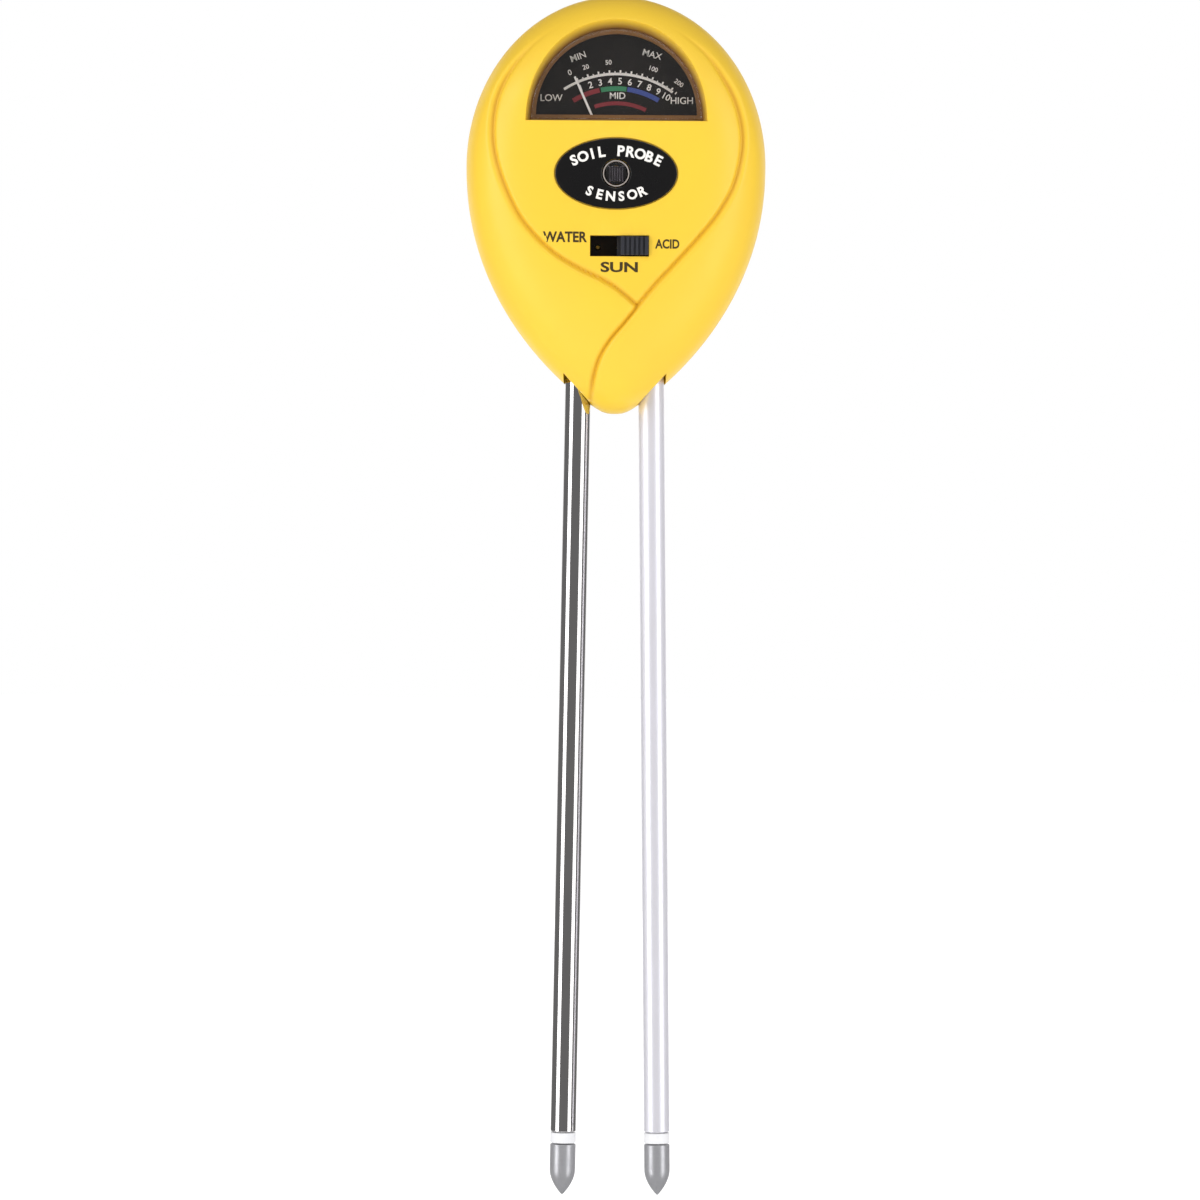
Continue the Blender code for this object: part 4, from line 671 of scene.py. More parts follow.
# %% The two edges and the height beside them
LEFT_EDGE = [
    (-9.5, 274.6), (-14.5, 271.4), (-19.1, 268.0), (-23.8, 262.7), (-27.0, 257.0), (-28.4, 251.2),
    (-28.4, 244.2), (-26.5, 236.7), (-22.9, 228.8), (-18.8, 223.4), (-14.1, 219.1), (-8.3, 215.6),
    (-1.2, 212.1), (5.0, 207.2), (9.5, 203.2),
]
RIGHT_EDGE = [
    (10.5, 273.4), (16.0, 269.6), (20.7, 265.6), (24.8, 259.9), (27.5, 254.7), (29.0, 248.9),
    (29.1, 243.1), (27.4, 235.5), (23.8, 228.8), (19.2, 223.0), (13.4, 216.6), (8.2, 210.9),
    (2.2, 203.4), (-1.2, 199.3), (-3.6, 195.2), (-5.0, 190.6), (-5.6, 186.6), (-5.8, 181.0),
]
EDGE_RISE = 0.70 * MM
EDGE_ROUND = 0.60 * MM
CREASE_DEPTH = 0.55 * MM
CREASE_WIDTH = 0.50 * MM
WING_FADE = 15.0 * MM
CROWN_FADE = (256.0 * MM, 273.0 * MM)
SEAM_FADE = 0.90
STEPS_PER_SPAN = 6
LEAST_REACH, MOST_REACH, HALVINGS = 0.0001, 1.5, 24


def smooth_curve(points_mm):
    """Points on a Catmull-Rom curve through points given as (x, height) in millimetres."""
    places = [Vector(point) * MM for point in points_mm]
    padded = [2 * places[0] - places[1], *places, 2 * places[-1] - places[-2]]
    curve = []
    for a, b, c, d in zip(padded, padded[1:], padded[2:], padded[3:]):
        bend, twist = 2 * a - 5 * b + 4 * c - d, 3 * b - a - 3 * c + d
        for step in range(STEPS_PER_SPAN):
            t = step / STEPS_PER_SPAN
            curve.append((2 * b + (c - a) * t + bend * t**2 + twist * t**3) / 2)
    return np.array([*curve, places[-1]])


def signed_distance(curve, x, z):
    """How far places are from a curve: positive to the right of its running direction."""
    start, end = curve[:-1], curve[1:]
    along = end - start
    toward = np.stack([x, z], -1)[:, None] - start
    share = np.clip((toward * along).sum(-1) / (along * along).sum(-1), 0, 1)
    away = np.linalg.norm(toward - along * share[..., None], axis=-1)
    nearest = away.argmin(1)
    rows = np.arange(len(x))
    turn = along[nearest, 0] * toward[rows, nearest, 1] - along[nearest, 1] * toward[rows, nearest, 0]
    return np.where(turn < 0, 1, -1) * away[rows, nearest]


def ease(value, low, high):
    """Runs smoothly from 0 at low to 1 at high."""
    share = np.clip((value - low) / (high - low), 0, 1)
    return share * share * (3 - 2 * share)


def edge_height(distance):
    """The raised, rounded edge on the wing's side and the crease at its foot."""
    crease = -CREASE_DEPTH * np.exp(-((distance / CREASE_WIDTH) ** 2))
    rise = 1 - np.exp(-((distance / EDGE_ROUND) ** 2))
    wing = EDGE_RISE * rise * np.exp(-((distance / WING_FADE) ** 2))
    return crease + np.where(distance > 0, wing, 0)


def reach_share(x, z):
    """How far out places are: 0 at the head's middle, 1 on its outline."""
    up = z - WIDEST
    above = np.hypot(x / HALF_WIDTH, np.maximum(up, 0) / CROWN)
    low, high = np.full(len(x), LEAST_REACH), np.full(len(x), MOST_REACH)
    for _ in range(HALVINGS):
        guess = (low + high) / 2
        across = np.minimum(abs(x) / (HALF_WIDTH * guess), 1)
        down = (1 - across**TAPER_ACROSS) ** (1 / TAPER_DOWN)
        edge = rounded_least(DROP, (DROP + TIP_SPARE) * down, TIP_BLEND)
        beyond = (-up > edge * guess) | (across >= 1)
        low, high = np.where(beyond, guess, low), np.where(beyond, high, guess)
    return np.where(up >= 0, above, high)


LEFT_CURVE, RIGHT_CURVE = smooth_curve(LEFT_EDGE), smooth_curve(RIGHT_EDGE)
print("curve points:", len(LEFT_CURVE), len(RIGHT_CURVE))


def fold_height(x, z):
    """How far the folded wings stand off the plain dome at (x, z)."""
    right = -signed_distance(RIGHT_CURVE, x, z)
    left = signed_distance(LEFT_CURVE, x, z)
    fade = 1 - ease(z, *CROWN_FADE)
    under = 1 - ease(right, -EDGE_ROUND / 2, EDGE_ROUND / 2)
    seam_fade = 1 - ease(reach_share(x, z), SEAM_FADE, 1.0)
    return fade * seam_fade * (edge_height(right) + under * edge_height(left))


def edge_distance(x, z):
    """How far places are from the nearer of the two edges."""
    return np.minimum(abs(signed_distance(RIGHT_CURVE, x, z)), abs(signed_distance(LEFT_CURVE, x, z)))


# %% The front cover's plain skin
front = dome("front_cover_skin", -1, *FRONT_BALL)
print("front skin before its openings:", len(front.data.polygons), "faces")

# %% [markdown]
# ## The front cover's wall, window and openings
# A cover is a shell two millimetres thick with ribs that cradle the probes, posts for screws
# and a deep D-shaped frame round the window. Rather than adding each to the shell, the empty
# space inside the cover is modelled as one solid, the ribs, posts and frame are taken out of
# it, and what is left of it is taken out of the skin. The mould's sliding cores work like that.

# %% Tools for the openings
D_SIDES = 48
# How far a tool runs past what it cuts, where there is room and where there is little.
THROUGH, PAST = 4.0 * MM, 1.0 * MM
GAP = 0.3 * MM


def d_solid(name, sections):
    """A D lying on its flat side; each section is (depth, half width, base, crown)."""
    depth, half_width, base, crown = sections[0]
    solid = add(
        bpy.ops.mesh.primitive_circle_add, name, vertices=2 * D_SIDES, radius=1,
        rotation=(math.pi / 2, 0, 0),
    )
    edit(solid)
    pick("VERT", lambda vert: vert.co.z < JUST_BELOW)
    bpy.ops.mesh.delete(type="VERT")
    bpy.ops.mesh.select_all(action="SELECT")
    bpy.ops.mesh.edge_face_add()
    bpy.ops.transform.resize(value=(half_width, 1, crown - base), center_override=(0, 0, 0))
    bpy.ops.transform.translate(value=(0, depth, base))
    for further, wide, low, high in sections[1:]:
        bpy.ops.mesh.extrude_region_move()
        grown = (wide / half_width, 1, (high - low) / (crown - base))
        bpy.ops.transform.resize(value=grown, center_override=(0, depth, base))
        bpy.ops.transform.translate(value=(0, further - depth, low - base))
        depth, half_width, base, crown = further, wide, low, high
    face_out()
    return solid


def round_bar(name, radius, x, z, front_y, rear_y, sides=48):
    """A round bar that runs from front to rear."""
    return add(
        bpy.ops.mesh.primitive_cylinder_add, name, vertices=sides, radius=radius,
        depth=rear_y - front_y, rotation=(math.pi / 2, 0, 0), location=(x, (front_y + rear_y) / 2, z),
    )


def block(name, low, high):
    """A box between two corners."""
    size = [b - a for a, b in zip(low, high)]
    middle = [(a + b) / 2 for a, b in zip(low, high)]
    return add(bpy.ops.mesh.primitive_cube_add, name, size=1, location=middle, scale=size)


def centre_of(node):
    """The middle of a measured node's box."""
    low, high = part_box(node)
    return (low + high) / 2


# %% What both covers share: ribs, screw places and probe holes
PROBE_RADIUS = 3.0 * MM
PROBE_HALF_SPACING = 11.14 * MM
PROBE_SPLAY = math.radians(0.782)
RIB_HEIGHTS = (190.3 * MM, 203.5 * MM)
RIB_HALF = 0.8 * MM
SIDES = (("left", -1), ("right", 1))
CASE_SCREWS = {label: centre_of(f"case_screw_{label}") for label in ("left", "right", "low")}
MOVEMENT_SCREWS, BOARD_SCREWS = (
    [centre_of(f"{family}_{label}") for label, _ in SIDES] for family in ("movement_screw", "board_screw")
)
PROBE_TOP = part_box("left_probe_tube")[1].z
HOLE_BELOW_RIB = 20.0 * MM


def lean(thing, side):
    """Moves a piece from the middle line onto a probe's axis."""
    aside = Matrix.Translation((side * PROBE_HALF_SPACING, 0, 0))
    thing.data.transform(aside @ Matrix.Rotation(-side * PROBE_SPLAY, 4, "Y"))


def probe_hole(side):
    """What the covers leave free for a probe: a round bar along the probe's leaning axis."""
    low, high = RIB_HEIGHTS[0] - HOLE_BELOW_RIB, PROBE_TOP + GAP
    made = add(
        bpy.ops.mesh.primitive_cylinder_add, "probe_hole", vertices=64, radius=PROBE_RADIUS + GAP,
        depth=high - low, location=(0, 0, (low + high) / 2),
    )
    lean(made, side)
    return made


def rib_blocks(depth):
    """The two ribs that cradle the probes, from the seam to a depth."""
    reach = 2 * HALF_WIDTH
    near, far = sorted((0, depth))
    return [
        block("rib", (-reach, near, height - RIB_HALF), (reach, far, height + RIB_HALF))
        for height in RIB_HEIGHTS
    ]


# %% The space inside the front cover
LENS_LOW, LENS_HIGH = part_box("dial_lens")
LENS_HALF = LENS_HIGH.x
FRAME_WALL = 2.2 * MM
LEDGE_REAR = -8.2 * MM
CASE_BOSS, SMALL_BOSS = 3.0 * MM, 2.3 * MM
MOVEMENT_POST_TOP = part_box("movement_frame")[0].y - GAP
BOARD_POST_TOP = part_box("circuit_board")[0].y - GAP
OUTSIDE = -FRONT_DEPTH - THROUGH

space = dome("front_space", -1, *SPACE_BALL, inset=WALL, past_seam=PAST)
frame_outline = (LENS_HALF + FRAME_WALL, LENS_LOW.z - FRAME_WALL, LENS_HIGH.z + FRAME_WALL)
solids = [d_solid("window_frame", [(OUTSIDE, *frame_outline), (LEDGE_REAR, *frame_outline)])]
solids += rib_blocks(-FRONT_DEPTH)
solids += [round_bar("boss", CASE_BOSS, p.x, p.z, -FRONT_DEPTH, 0) for p in CASE_SCREWS.values()]
for ear, board in zip(MOVEMENT_SCREWS, BOARD_SCREWS):
    solids.append(round_bar("movement_post", SMALL_BOSS, ear.x, ear.z, -FRONT_DEPTH, MOVEMENT_POST_TOP))
    solids.append(round_bar("board_post", SMALL_BOSS, board.x, board.z, -FRONT_DEPTH, BOARD_POST_TOP))
carve(space, solids)
carve(front, [space])
print("front cover after coring:", len(front.data.polygons), "faces")

# %% The window, the badge's seat, the sensor hole, the switch's slot and the rod notches
RIM_ASIDE, RIM_BELOW, RIM_ABOVE = 1.6 * MM, 1.16 * MM, 4.5 * MM
RIM = (LENS_HALF + RIM_ASIDE, LENS_LOW.z - RIM_BELOW, LENS_HIGH.z + RIM_ABOVE)
SEAT = (LENS_HALF + GAP, LENS_LOW.z - GAP, LENS_HIGH.z + GAP)
LEDGE = 1.0 * MM
OPENING = (LENS_HALF - LEDGE, LENS_LOW.z + LEDGE, LENS_HIGH.z - LEDGE)
BADGE_LOW, BADGE_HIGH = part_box("badge_plate")
BADGE_HALF_WIDTH = BADGE_HIGH.x
BADGE_HALF_HEIGHT = (BADGE_HIGH.z - BADGE_LOW.z) / 2
BADGE_CENTRE = (BADGE_HIGH.z + BADGE_LOW.z) / 2
SENSOR_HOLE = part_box("sensor_bezel")[1].x + GAP
KNOB_LOW, KNOB_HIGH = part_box("switch_knob")
SLOT_X, SLOT_Z = centre_of("switch_shell").x, centre_of("switch_shell").z
SLOT_HALF_LENGTH, SLOT_HALF_HEIGHT = 6.8 * MM, 2.43 * MM
SCREW_HOLE, SMALL_SCREW_HOLE = 1.5 * MM, 1.1 * MM
CASE_HOLE_FRONT = -8.3 * MM
MOVEMENT_HOLE_DEEP, BOARD_HOLE_DEEP = 5.0 * MM, 4.0 * MM
NOTCH_INNER, NOTCH_OUTER = (5.6 * MM, 185.0 * MM), (11.95 * MM, 191.9 * MM)
INNER_FRONT = -FRONT_DEPTH + WALL


def notch_wedge(side):
    """A wedge that trims the cover's lower edge where a probe comes out."""
    low = NOTCH_INNER[1] - THROUGH
    wedge = block("notch", (NOTCH_INNER[0], OUTSIDE, low), (NOTCH_OUTER[0], THROUGH, NOTCH_OUTER[1]))
    for vert in wedge.data.vertices:
        if vert.co.z > NOTCH_INNER[1] and vert.co.x < (NOTCH_INNER[0] + NOTCH_OUTER[0]) / 2:
            vert.co.z = NOTCH_INNER[1]
        vert.co.x *= side
    edit(wedge)
    face_out()
    return wedge


def badge_bar(name, half_width, half_height, front_y, rear_y, sides):
    """An oval bar from front to rear, on the badge's middle."""
    made = round_bar(name, half_width, 0, 0, front_y, rear_y, sides)
    squash = Matrix.Diagonal((1, 1, half_height / half_width, 1))
    made.data.transform(Matrix.Translation((0, 0, BADGE_CENTRE)) @ squash)
    return made


openings = [
    d_solid("recess", [(-FRONT_DEPTH - PAST, *RIM), (LENS_LOW.y, *SEAT), (LENS_HIGH.y + GAP, *SEAT)]),
    d_solid("opening", [(LENS_LOW.y, *OPENING), (LEDGE_REAR + THROUGH, *OPENING)]),
    badge_bar(
        "badge_seat", BADGE_HALF_WIDTH + GAP, BADGE_HALF_HEIGHT + GAP, OUTSIDE, BADGE_HIGH.y + GAP, 96
    ),
    round_bar("sensor_hole", SENSOR_HOLE, 0, BADGE_CENTRE, OUTSIDE, INNER_FRONT + THROUGH),
    block(
        "slot", (SLOT_X - SLOT_HALF_LENGTH, OUTSIDE, SLOT_Z - SLOT_HALF_HEIGHT),
        (SLOT_X + SLOT_HALF_LENGTH, INNER_FRONT + PAST, SLOT_Z + SLOT_HALF_HEIGHT),
    ),
]
for (_, side), ear, board in zip(SIDES, MOVEMENT_SCREWS, BOARD_SCREWS):
    movement_bottom = MOVEMENT_POST_TOP - MOVEMENT_HOLE_DEEP
    board_bottom = BOARD_POST_TOP - BOARD_HOLE_DEEP
    openings.append(probe_hole(side))
    openings.append(round_bar("movement_hole", SMALL_SCREW_HOLE, ear.x, ear.z, movement_bottom, 0, 16))
    openings.append(round_bar("board_hole", SMALL_SCREW_HOLE, board.x, board.z, board_bottom, 0, 16))
    openings.append(notch_wedge(side))
for place in CASE_SCREWS.values():
    openings.append(round_bar("case_hole", SCREW_HOLE, place.x, place.z, CASE_HOLE_FRONT, THROUGH, 24))
carve(front, openings)
print("front cover with its openings:", len(front.data.polygons), "faces")


# %% [markdown]
# ## Rounded rims and pressed folds
# A mould has no knife edges, so the rims of the window, the slot and the badge's seat are
# rounded first. The ball's mesh is fine enough for the dome but not for a crease half a
# millimetre wide, so only the skin's faces near the two edges are split, twice, before the
# folds are pressed in along the dome's own normal. The piece stays light, the crease crisp.

# %% Which points lie on the skin, and the dome's normal there
ON_SKIN = 0.06 * MM
PROBE_STEP = 0.05 * MM


def skin_depth(x, z):
    """Where the plain front dome lies at (x, z)."""
    share = np.sqrt(np.maximum(1 - reach_share(x, z) ** FRONT_FULLNESS, 0))
    rise = FRONT_DEPTH - SEAM
    full = (rise + FLAT_SPARE) * share ** (2 / DOME_POWER)
    return -(SEAM + rounded_least(rise, full, FLAT_SPARE))


def skin_normals(x, z):
    """Which way the plain front dome faces at (x, z)."""
    across = (skin_depth(x + PROBE_STEP, z) - skin_depth(x - PROBE_STEP, z)) / (2 * PROBE_STEP)
    upward = (skin_depth(x, z + PROBE_STEP) - skin_depth(x, z - PROBE_STEP)) / (2 * PROBE_STEP)
    normals = np.stack([across, -np.ones(len(x)), upward], -1)
    return normals / np.linalg.norm(normals, axis=1)[:, None]


def mark_skin(mesh):
    """Tags the points of an edit mesh that lie on the plain front dome, away from the seam."""
    places = np.array([vert.co for vert in mesh.verts])
    x, y, z = places.T
    on = (abs(y - skin_depth(x, z)) < ON_SKIN) & (y < -2 * SEAM)
    for vert, lies in zip(mesh.verts, on):
        vert.tag = bool(lies)


# %% Tidy the carved cover and round its rims
SAME_PLACE = 0.002 * MM
RIM_ROUND = 0.28 * MM
RIM_ANGLE = math.radians(32)

edit(front)
bpy.ops.mesh.select_all(action="SELECT")
bpy.ops.mesh.remove_doubles(threshold=SAME_PLACE)
bpy.ops.mesh.dissolve_degenerate(threshold=SAME_PLACE)
mark_skin(bmesh.from_edit_mesh(front.data))
rims = pick(
    "EDGE",
    lambda edge: all(vert.tag for vert in edge.verts) and len(edge.link_faces) == 2
    and edge.calc_face_angle() > RIM_ANGLE,
)
bpy.ops.mesh.bevel(offset=RIM_ROUND, segments=3, affect="EDGES", clamp_overlap=True)
leave()
print("rim edges rounded:", rims)

# %% Split the skin near the folds, and press the folds in
BANDS = (3.2 * MM, 1.8 * MM)

edit(front)
for band in BANDS:
    bpy.ops.mesh.select_mode(type="FACE")
    bpy.ops.mesh.select_all(action="DESELECT")
    mesh = bmesh.from_edit_mesh(front.data)
    mark_skin(mesh)
    skin = [face for face in mesh.faces if all(vert.tag for vert in face.verts)]
    middles = np.array([face.calc_center_median() for face in skin])
    near = edge_distance(middles[:, 0], middles[:, 2]) < band
    near &= middles[:, 2] < CROWN_FADE[1] + band
    for face, chosen in zip(skin, near):
        face.select_set(bool(chosen))
    bmesh.update_edit_mesh(front.data)
    bpy.ops.mesh.subdivide(number_cuts=1)
    print("faces split within", round(band / MM, 1), "mm of an edge:", int(near.sum()))
mesh = bmesh.from_edit_mesh(front.data)
mark_skin(mesh)
skin = [vert for vert in mesh.verts if vert.tag]
places = np.array([vert.co for vert in skin])
heights = fold_height(places[:, 0], places[:, 2])
moved = places + skin_normals(places[:, 0], places[:, 2]) * heights[:, None]
for vert, place in zip(skin, moved):
    vert.co = place
bmesh.update_edit_mesh(front.data)
leave()
print("front cover:", len(front.data.polygons), "faces, folds from", round(heights.min() / MM, 2),
      "to", round(heights.max() / MM, 2), "mm")

# %% Paint shade into the creases
CREASE_SHADE_WIDTH = 0.45 * MM
x, y, z = np.array([vert.co for vert in front.data.vertices]).T
skin_y = skin_depth(x, z)


def carry(name, values):
    """Writes a value on each point of the front cover, where its finish reads it."""
    attribute = front.data.attributes.new(name, "FLOAT", "POINT")
    attribute.data.foreach_set("value", values.astype(np.float32))


# The left edge counts only where the right wing doesn't cover it.
from_right = signed_distance(RIGHT_CURVE, x, z)
from_left = np.where(from_right > 0, abs(signed_distance(LEFT_CURVE, x, z)), HALF_WIDTH)
foot = np.minimum(abs(from_right), from_left)
near_skin = y < skin_y + 2 * CREASE_DEPTH
# Painted shade: a deeper, darker yellow along the foot of each crease, fading out towards the crown.
carry("crease", np.exp(-((foot / CREASE_SHADE_WIDTH) ** 2)) * near_skin * (1 - ease(z, *CROWN_FADE)))

# %% Paint shade down the window's walls by how deep they lie, and finish the front cover
RIM_SHADE = 0.25
OFF_SKIN = 0.35 * MM
rim_wide, rim_base, rim_crown = RIM
rim_reach = np.hypot(x / (rim_wide + GAP), np.maximum(z - rim_base, 0) / (rim_crown - rim_base + GAP))
sunk = np.clip((y - skin_y) / (LENS_LOW.y - skin_y), 0, 1)
in_window = (rim_reach < 1) & (z > rim_base - GAP) & (y < LEDGE_REAR + GAP) & (y > skin_y + OFF_SKIN)
# Painted shade: a brown a quarter strong at the rim, growing to full where the walls meet the lens.
carry("window_wall_shade", in_window * (RIM_SHADE + (1 - RIM_SHADE) * sunk))
print("points on the window's walls:", int(in_window.sum()))
settle(front, yellow_abs)
stand_in(front, "case", "front_cover")

# %% [markdown]
# ## Turned pieces
# The tubes, tips, rings, screws and the sensor's bezel are all bodies of revolution. A lathe
# makes them from a profile, so here a circle primitive is bent into the profile's shape and
# spun once round the axis.

# %% The lathe
def lathe(name, profile, steps=64):
    """Spins a closed profile of (radius, height) points once round the Z axis."""
    made = add(bpy.ops.mesh.primitive_circle_add, name, vertices=len(profile), radius=1)
    for vert, (radius, height) in zip(made.data.vertices, profile):
        vert.co = (radius, 0, height)
    edit(made)
    bpy.ops.mesh.select_all(action="SELECT")
    bpy.ops.mesh.spin(steps=steps, angle=math.tau, center=(0, 0, 0), axis=(0, 0, 1))
    bpy.ops.mesh.select_all(action="SELECT")
    bpy.ops.mesh.remove_doubles(threshold=SAME_PLACE)
    bpy.ops.mesh.delete_loose()
    face_out()
    return made


def face_front(thing, x, z):
    """Turns a piece made along Z so that its top faces the front, and moves it to (x, z)."""
    thing.data.transform(Matrix.Translation((x, 0, z)) @ Matrix.Rotation(math.pi / 2, 4, "X"))


# %% [markdown]
# ## The probes
# Each probe is a thin tube with a turned tip; a white nylon ring keeps the two apart, because
# the voltage between tip and tube drives the moisture reading. The tube ends are broken with a
# small chamfer. Both probes lean in by less than a degree on their way up to the head.

# %% Tubes, rings and tips
TUBE_LOW = 14.9 * MM
TUBE_WALL = 0.6 * MM
TUBE_CHAMFER = 0.12 * MM
RING_LOW, RING_HIGH, SPIGOT_HIGH = 12.2 * MM, 14.6 * MM, 20.6 * MM
SPIGOT_RADIUS, STEM_HOLE, STEM_RADIUS = 2.1 * MM, 1.3 * MM, 1.0 * MM
TIP_HIGH, STEM_HIGH, OGIVE_HIGH = 11.9 * MM, 20.4 * MM, 6.0 * MM
TIP_FULLNESS = 0.85
OGIVE_STEPS = 18
PROBE_FINISHES = {"left": (bright_nickel, "nickel"), "right": (satin_aluminium, "aluminium")}
bore = PROBE_RADIUS - TUBE_WALL
tube_profile = [
    (bore, TUBE_LOW), (PROBE_RADIUS - TUBE_CHAMFER, TUBE_LOW), (PROBE_RADIUS, TUBE_LOW + TUBE_CHAMFER),
    (PROBE_RADIUS, PROBE_TOP - TUBE_CHAMFER), (PROBE_RADIUS - TUBE_CHAMFER, PROBE_TOP), (bore, PROBE_TOP),
]
ring_profile = [
    (STEM_HOLE, RING_LOW), (PROBE_RADIUS - TUBE_CHAMFER, RING_LOW), (PROBE_RADIUS, RING_LOW + TUBE_CHAMFER),
    (PROBE_RADIUS, RING_HIGH - TUBE_CHAMFER), (PROBE_RADIUS - TUBE_CHAMFER, RING_HIGH),
    (SPIGOT_RADIUS, RING_HIGH), (SPIGOT_RADIUS, SPIGOT_HIGH), (STEM_HOLE, SPIGOT_HIGH),
]
shares = [step / OGIVE_STEPS for step in range(OGIVE_STEPS + 1)]
tip_profile = [(PROBE_RADIUS * math.sin(math.pi / 2 * s) ** TIP_FULLNESS, OGIVE_HIGH * s) for s in shares]
tip_profile += [
    (PROBE_RADIUS, TIP_HIGH - TUBE_CHAMFER), (PROBE_RADIUS - TUBE_CHAMFER, TIP_HIGH),
    (STEM_RADIUS, TIP_HIGH), (STEM_RADIUS, STEM_HIGH), (0, STEM_HIGH),
]
for label, side in SIDES:
    tube_finish, tube_slot = PROBE_FINISHES[label]
    for family, profile, material, slot in (
        ("probe_tube", tube_profile, tube_finish, tube_slot),
        ("insulating_ring", ring_profile, white_nylon, "white_plastic"),
        ("probe_tip", tip_profile, turned_zinc, "zinc"),
    ):
        made = lathe(f"{label}_{family}_skin", profile)
        lean(made, side)
        settle(made, material)
        stand_in(made, "case", f"{label}_{family}")

# %% [markdown]
# ## The lens
# The lens is punched from clear sheet and drops into its seat in the window. Its edge is
# rounded a quarter of a millimetre, which is what catches the light round the dial. Its
# faces must stay truly flat, so the smoothing stops at the first edge of the rounding.

# %% The lens
LENS_ROUND = 0.25
FLAT_FACED = 20
lens_outline = (LENS_HALF, LENS_LOW.z, LENS_HIGH.z)
lens = d_solid("lens", [(LENS_LOW.y, *lens_outline), (LENS_HIGH.y, *lens_outline)])
soften(lens, LENS_ROUND)
settle(lens, clear_styrene, FLAT_FACED)
stand_in(lens, "case", "dial_lens")

# %% [markdown]
# ## The dial's print
# The dial is silk-screened in four colours. Printed ink stands a few hundredths of a
# millimetre off the plate, so the scale, its teeth, its coloured zones and its numbers are
# real thin pieces. An arc starts as a flat grid that is bent round the pointer's pivot.

# %% Bands, teeth and numbers
DIAL_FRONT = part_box("dial_plate")[0].y
PIVOT = 239.0 * MM
INK = 0.03 * MM
ARC_STEP = math.radians(0.8)
LETTER_STEPS = 4
LETTER_SAME_PLACE = 0.001 * MM


def united(name, pieces, material):
    """Joins pieces that are printed in one pass, and gives them their ink."""
    only(*pieces)
    if len(pieces) > 1:
        bpy.ops.object.join()
    pieces[0].name = name
    return settle(pieces[0], material)


def arc_band(radius, width, start, end):
    """A thin band round the pivot between two angles, in degrees from straight up to the right."""
    start, end = math.radians(start), math.radians(end)
    steps = max(2, round((end - start) / ARC_STEP))
    band = add(bpy.ops.mesh.primitive_grid_add, "band", x_subdivisions=steps, y_subdivisions=1, size=2)
    for vert in band.data.vertices:
        angle = start + (end - start) * (vert.co.x + 1) / 2
        reach = radius + width * vert.co.y / 2
        vert.co = (reach * math.sin(angle), DIAL_FRONT, PIVOT + reach * math.cos(angle))
    edit(band)
    bpy.ops.mesh.select_all(action="SELECT")
    bpy.ops.mesh.extrude_region_move(TRANSFORM_OT_translate={"value": (0, -INK, 0)})
    face_out()
    return band


def lettering(words, height, x, z, weight, tilt=0.0, front_y=DIAL_FRONT, ink=INK, width=None):
    """Standing letters of a given height, centred on (x, z), tilted by degrees to the right."""
    only(floor)
    bpy.ops.object.text_add()
    made = bpy.context.object
    made.data.body = words
    made.data.align_x = "CENTER"
    made.data.resolution_u = LETTER_STEPS
    # Half a unit each way makes letters one unit thick, and the ink's thickness scales that.
    made.data.extrude = 0.5
    made.data.offset = weight
    bpy.ops.object.convert(target="MESH")
    xs, ys = [v.co.x for v in made.data.vertices], [v.co.y for v in made.data.vertices]
    tall = height / (max(ys) - min(ys))
    wide = width / (max(xs) - min(xs)) if width else tall
    centre = Matrix.Translation((-(max(xs) + min(xs)) / 2, -(max(ys) + min(ys)) / 2, 0))
    upright = Matrix.Rotation(math.radians(tilt), 4, "Y") @ Matrix.Rotation(math.pi / 2, 4, "X")
    there = Matrix.Translation((x, front_y - ink / 2, z))
    made.data.transform(there @ upright @ Matrix.Diagonal((wide, tall, ink, 1)) @ centre)
    edit(made)
    bpy.ops.mesh.select_all(action="SELECT")
    bpy.ops.mesh.remove_doubles(threshold=LETTER_SAME_PLACE)
    face_out()
    return made


def polar(radius, degrees):
    """A place on the dial, as (x, height)."""
    turn = math.radians(degrees)
    return radius * math.sin(turn), PIVOT + radius * math.cos(turn)


# Angles and widths round the pivot are in degrees. The bar is the red one under the word MID.
SCALE_RADIUS, SCALE_WIDTH, SCALE_ENDS = 22.4 * MM, 0.6 * MM, (-33, 35.6)
TOOTH_HIGH, TOOTH_WIDE = 0.9 * MM, 0.95
HALF_TOOTH_HIGH, HALF_TOOTH_WIDE, HALF_TOOTH_AFTER = TOOTH_HIGH * 2 / 3, TOOTH_WIDE * 0.7, 2.9
NUMBER_RADIUS, NUMBER_HEIGHT, NUMBER_TILT = 20.75 * MM, 1.55 * MM, 0.8
FIRST_NUMBER, NUMBER_STEP, NUMBERS = -23.4, 6.4, 10
NUMBER_WEIGHT, WORD_WEIGHT = 0.012, 0.008
ZONE_RADIUS, ZONE_WIDTH = 19.0 * MM, 1.1 * MM
BAR_RADIUS, BAR_WIDTH, BAR_ENDS = 15.6 * MM, 0.9 * MM, (-19, 26)
# Each word or reading: its height and its place (x, height) in millimetres, and its tilt.
DIAL_WORDS = {
    "MID": (1.5, 0.25, 256.35, 0), "LOW": (1.6, -15.1, 255.8, 0), "HIGH": (1.6, 15.2, 255.3, 0),
    "MIN": (1.5, -9.0, 265.4, -20), "MAX": (1.5, 8.3, 266.0, 15), "0": (1.3, -10.9, 261.7, -20),
    "20": (1.1, -7.2, 263.0, -15), "50": (1.1, -1.9, 264.1, -4), "100": (1.1, 8.6, 262.6, 18),
    "200": (1.1, 14.5, 259.4, 35),
}
ZONES = {"red": (red_ink, -32, -12), "green": (green_ink, -11, 7), "blue": (blue_ink, 7.6, 31)}

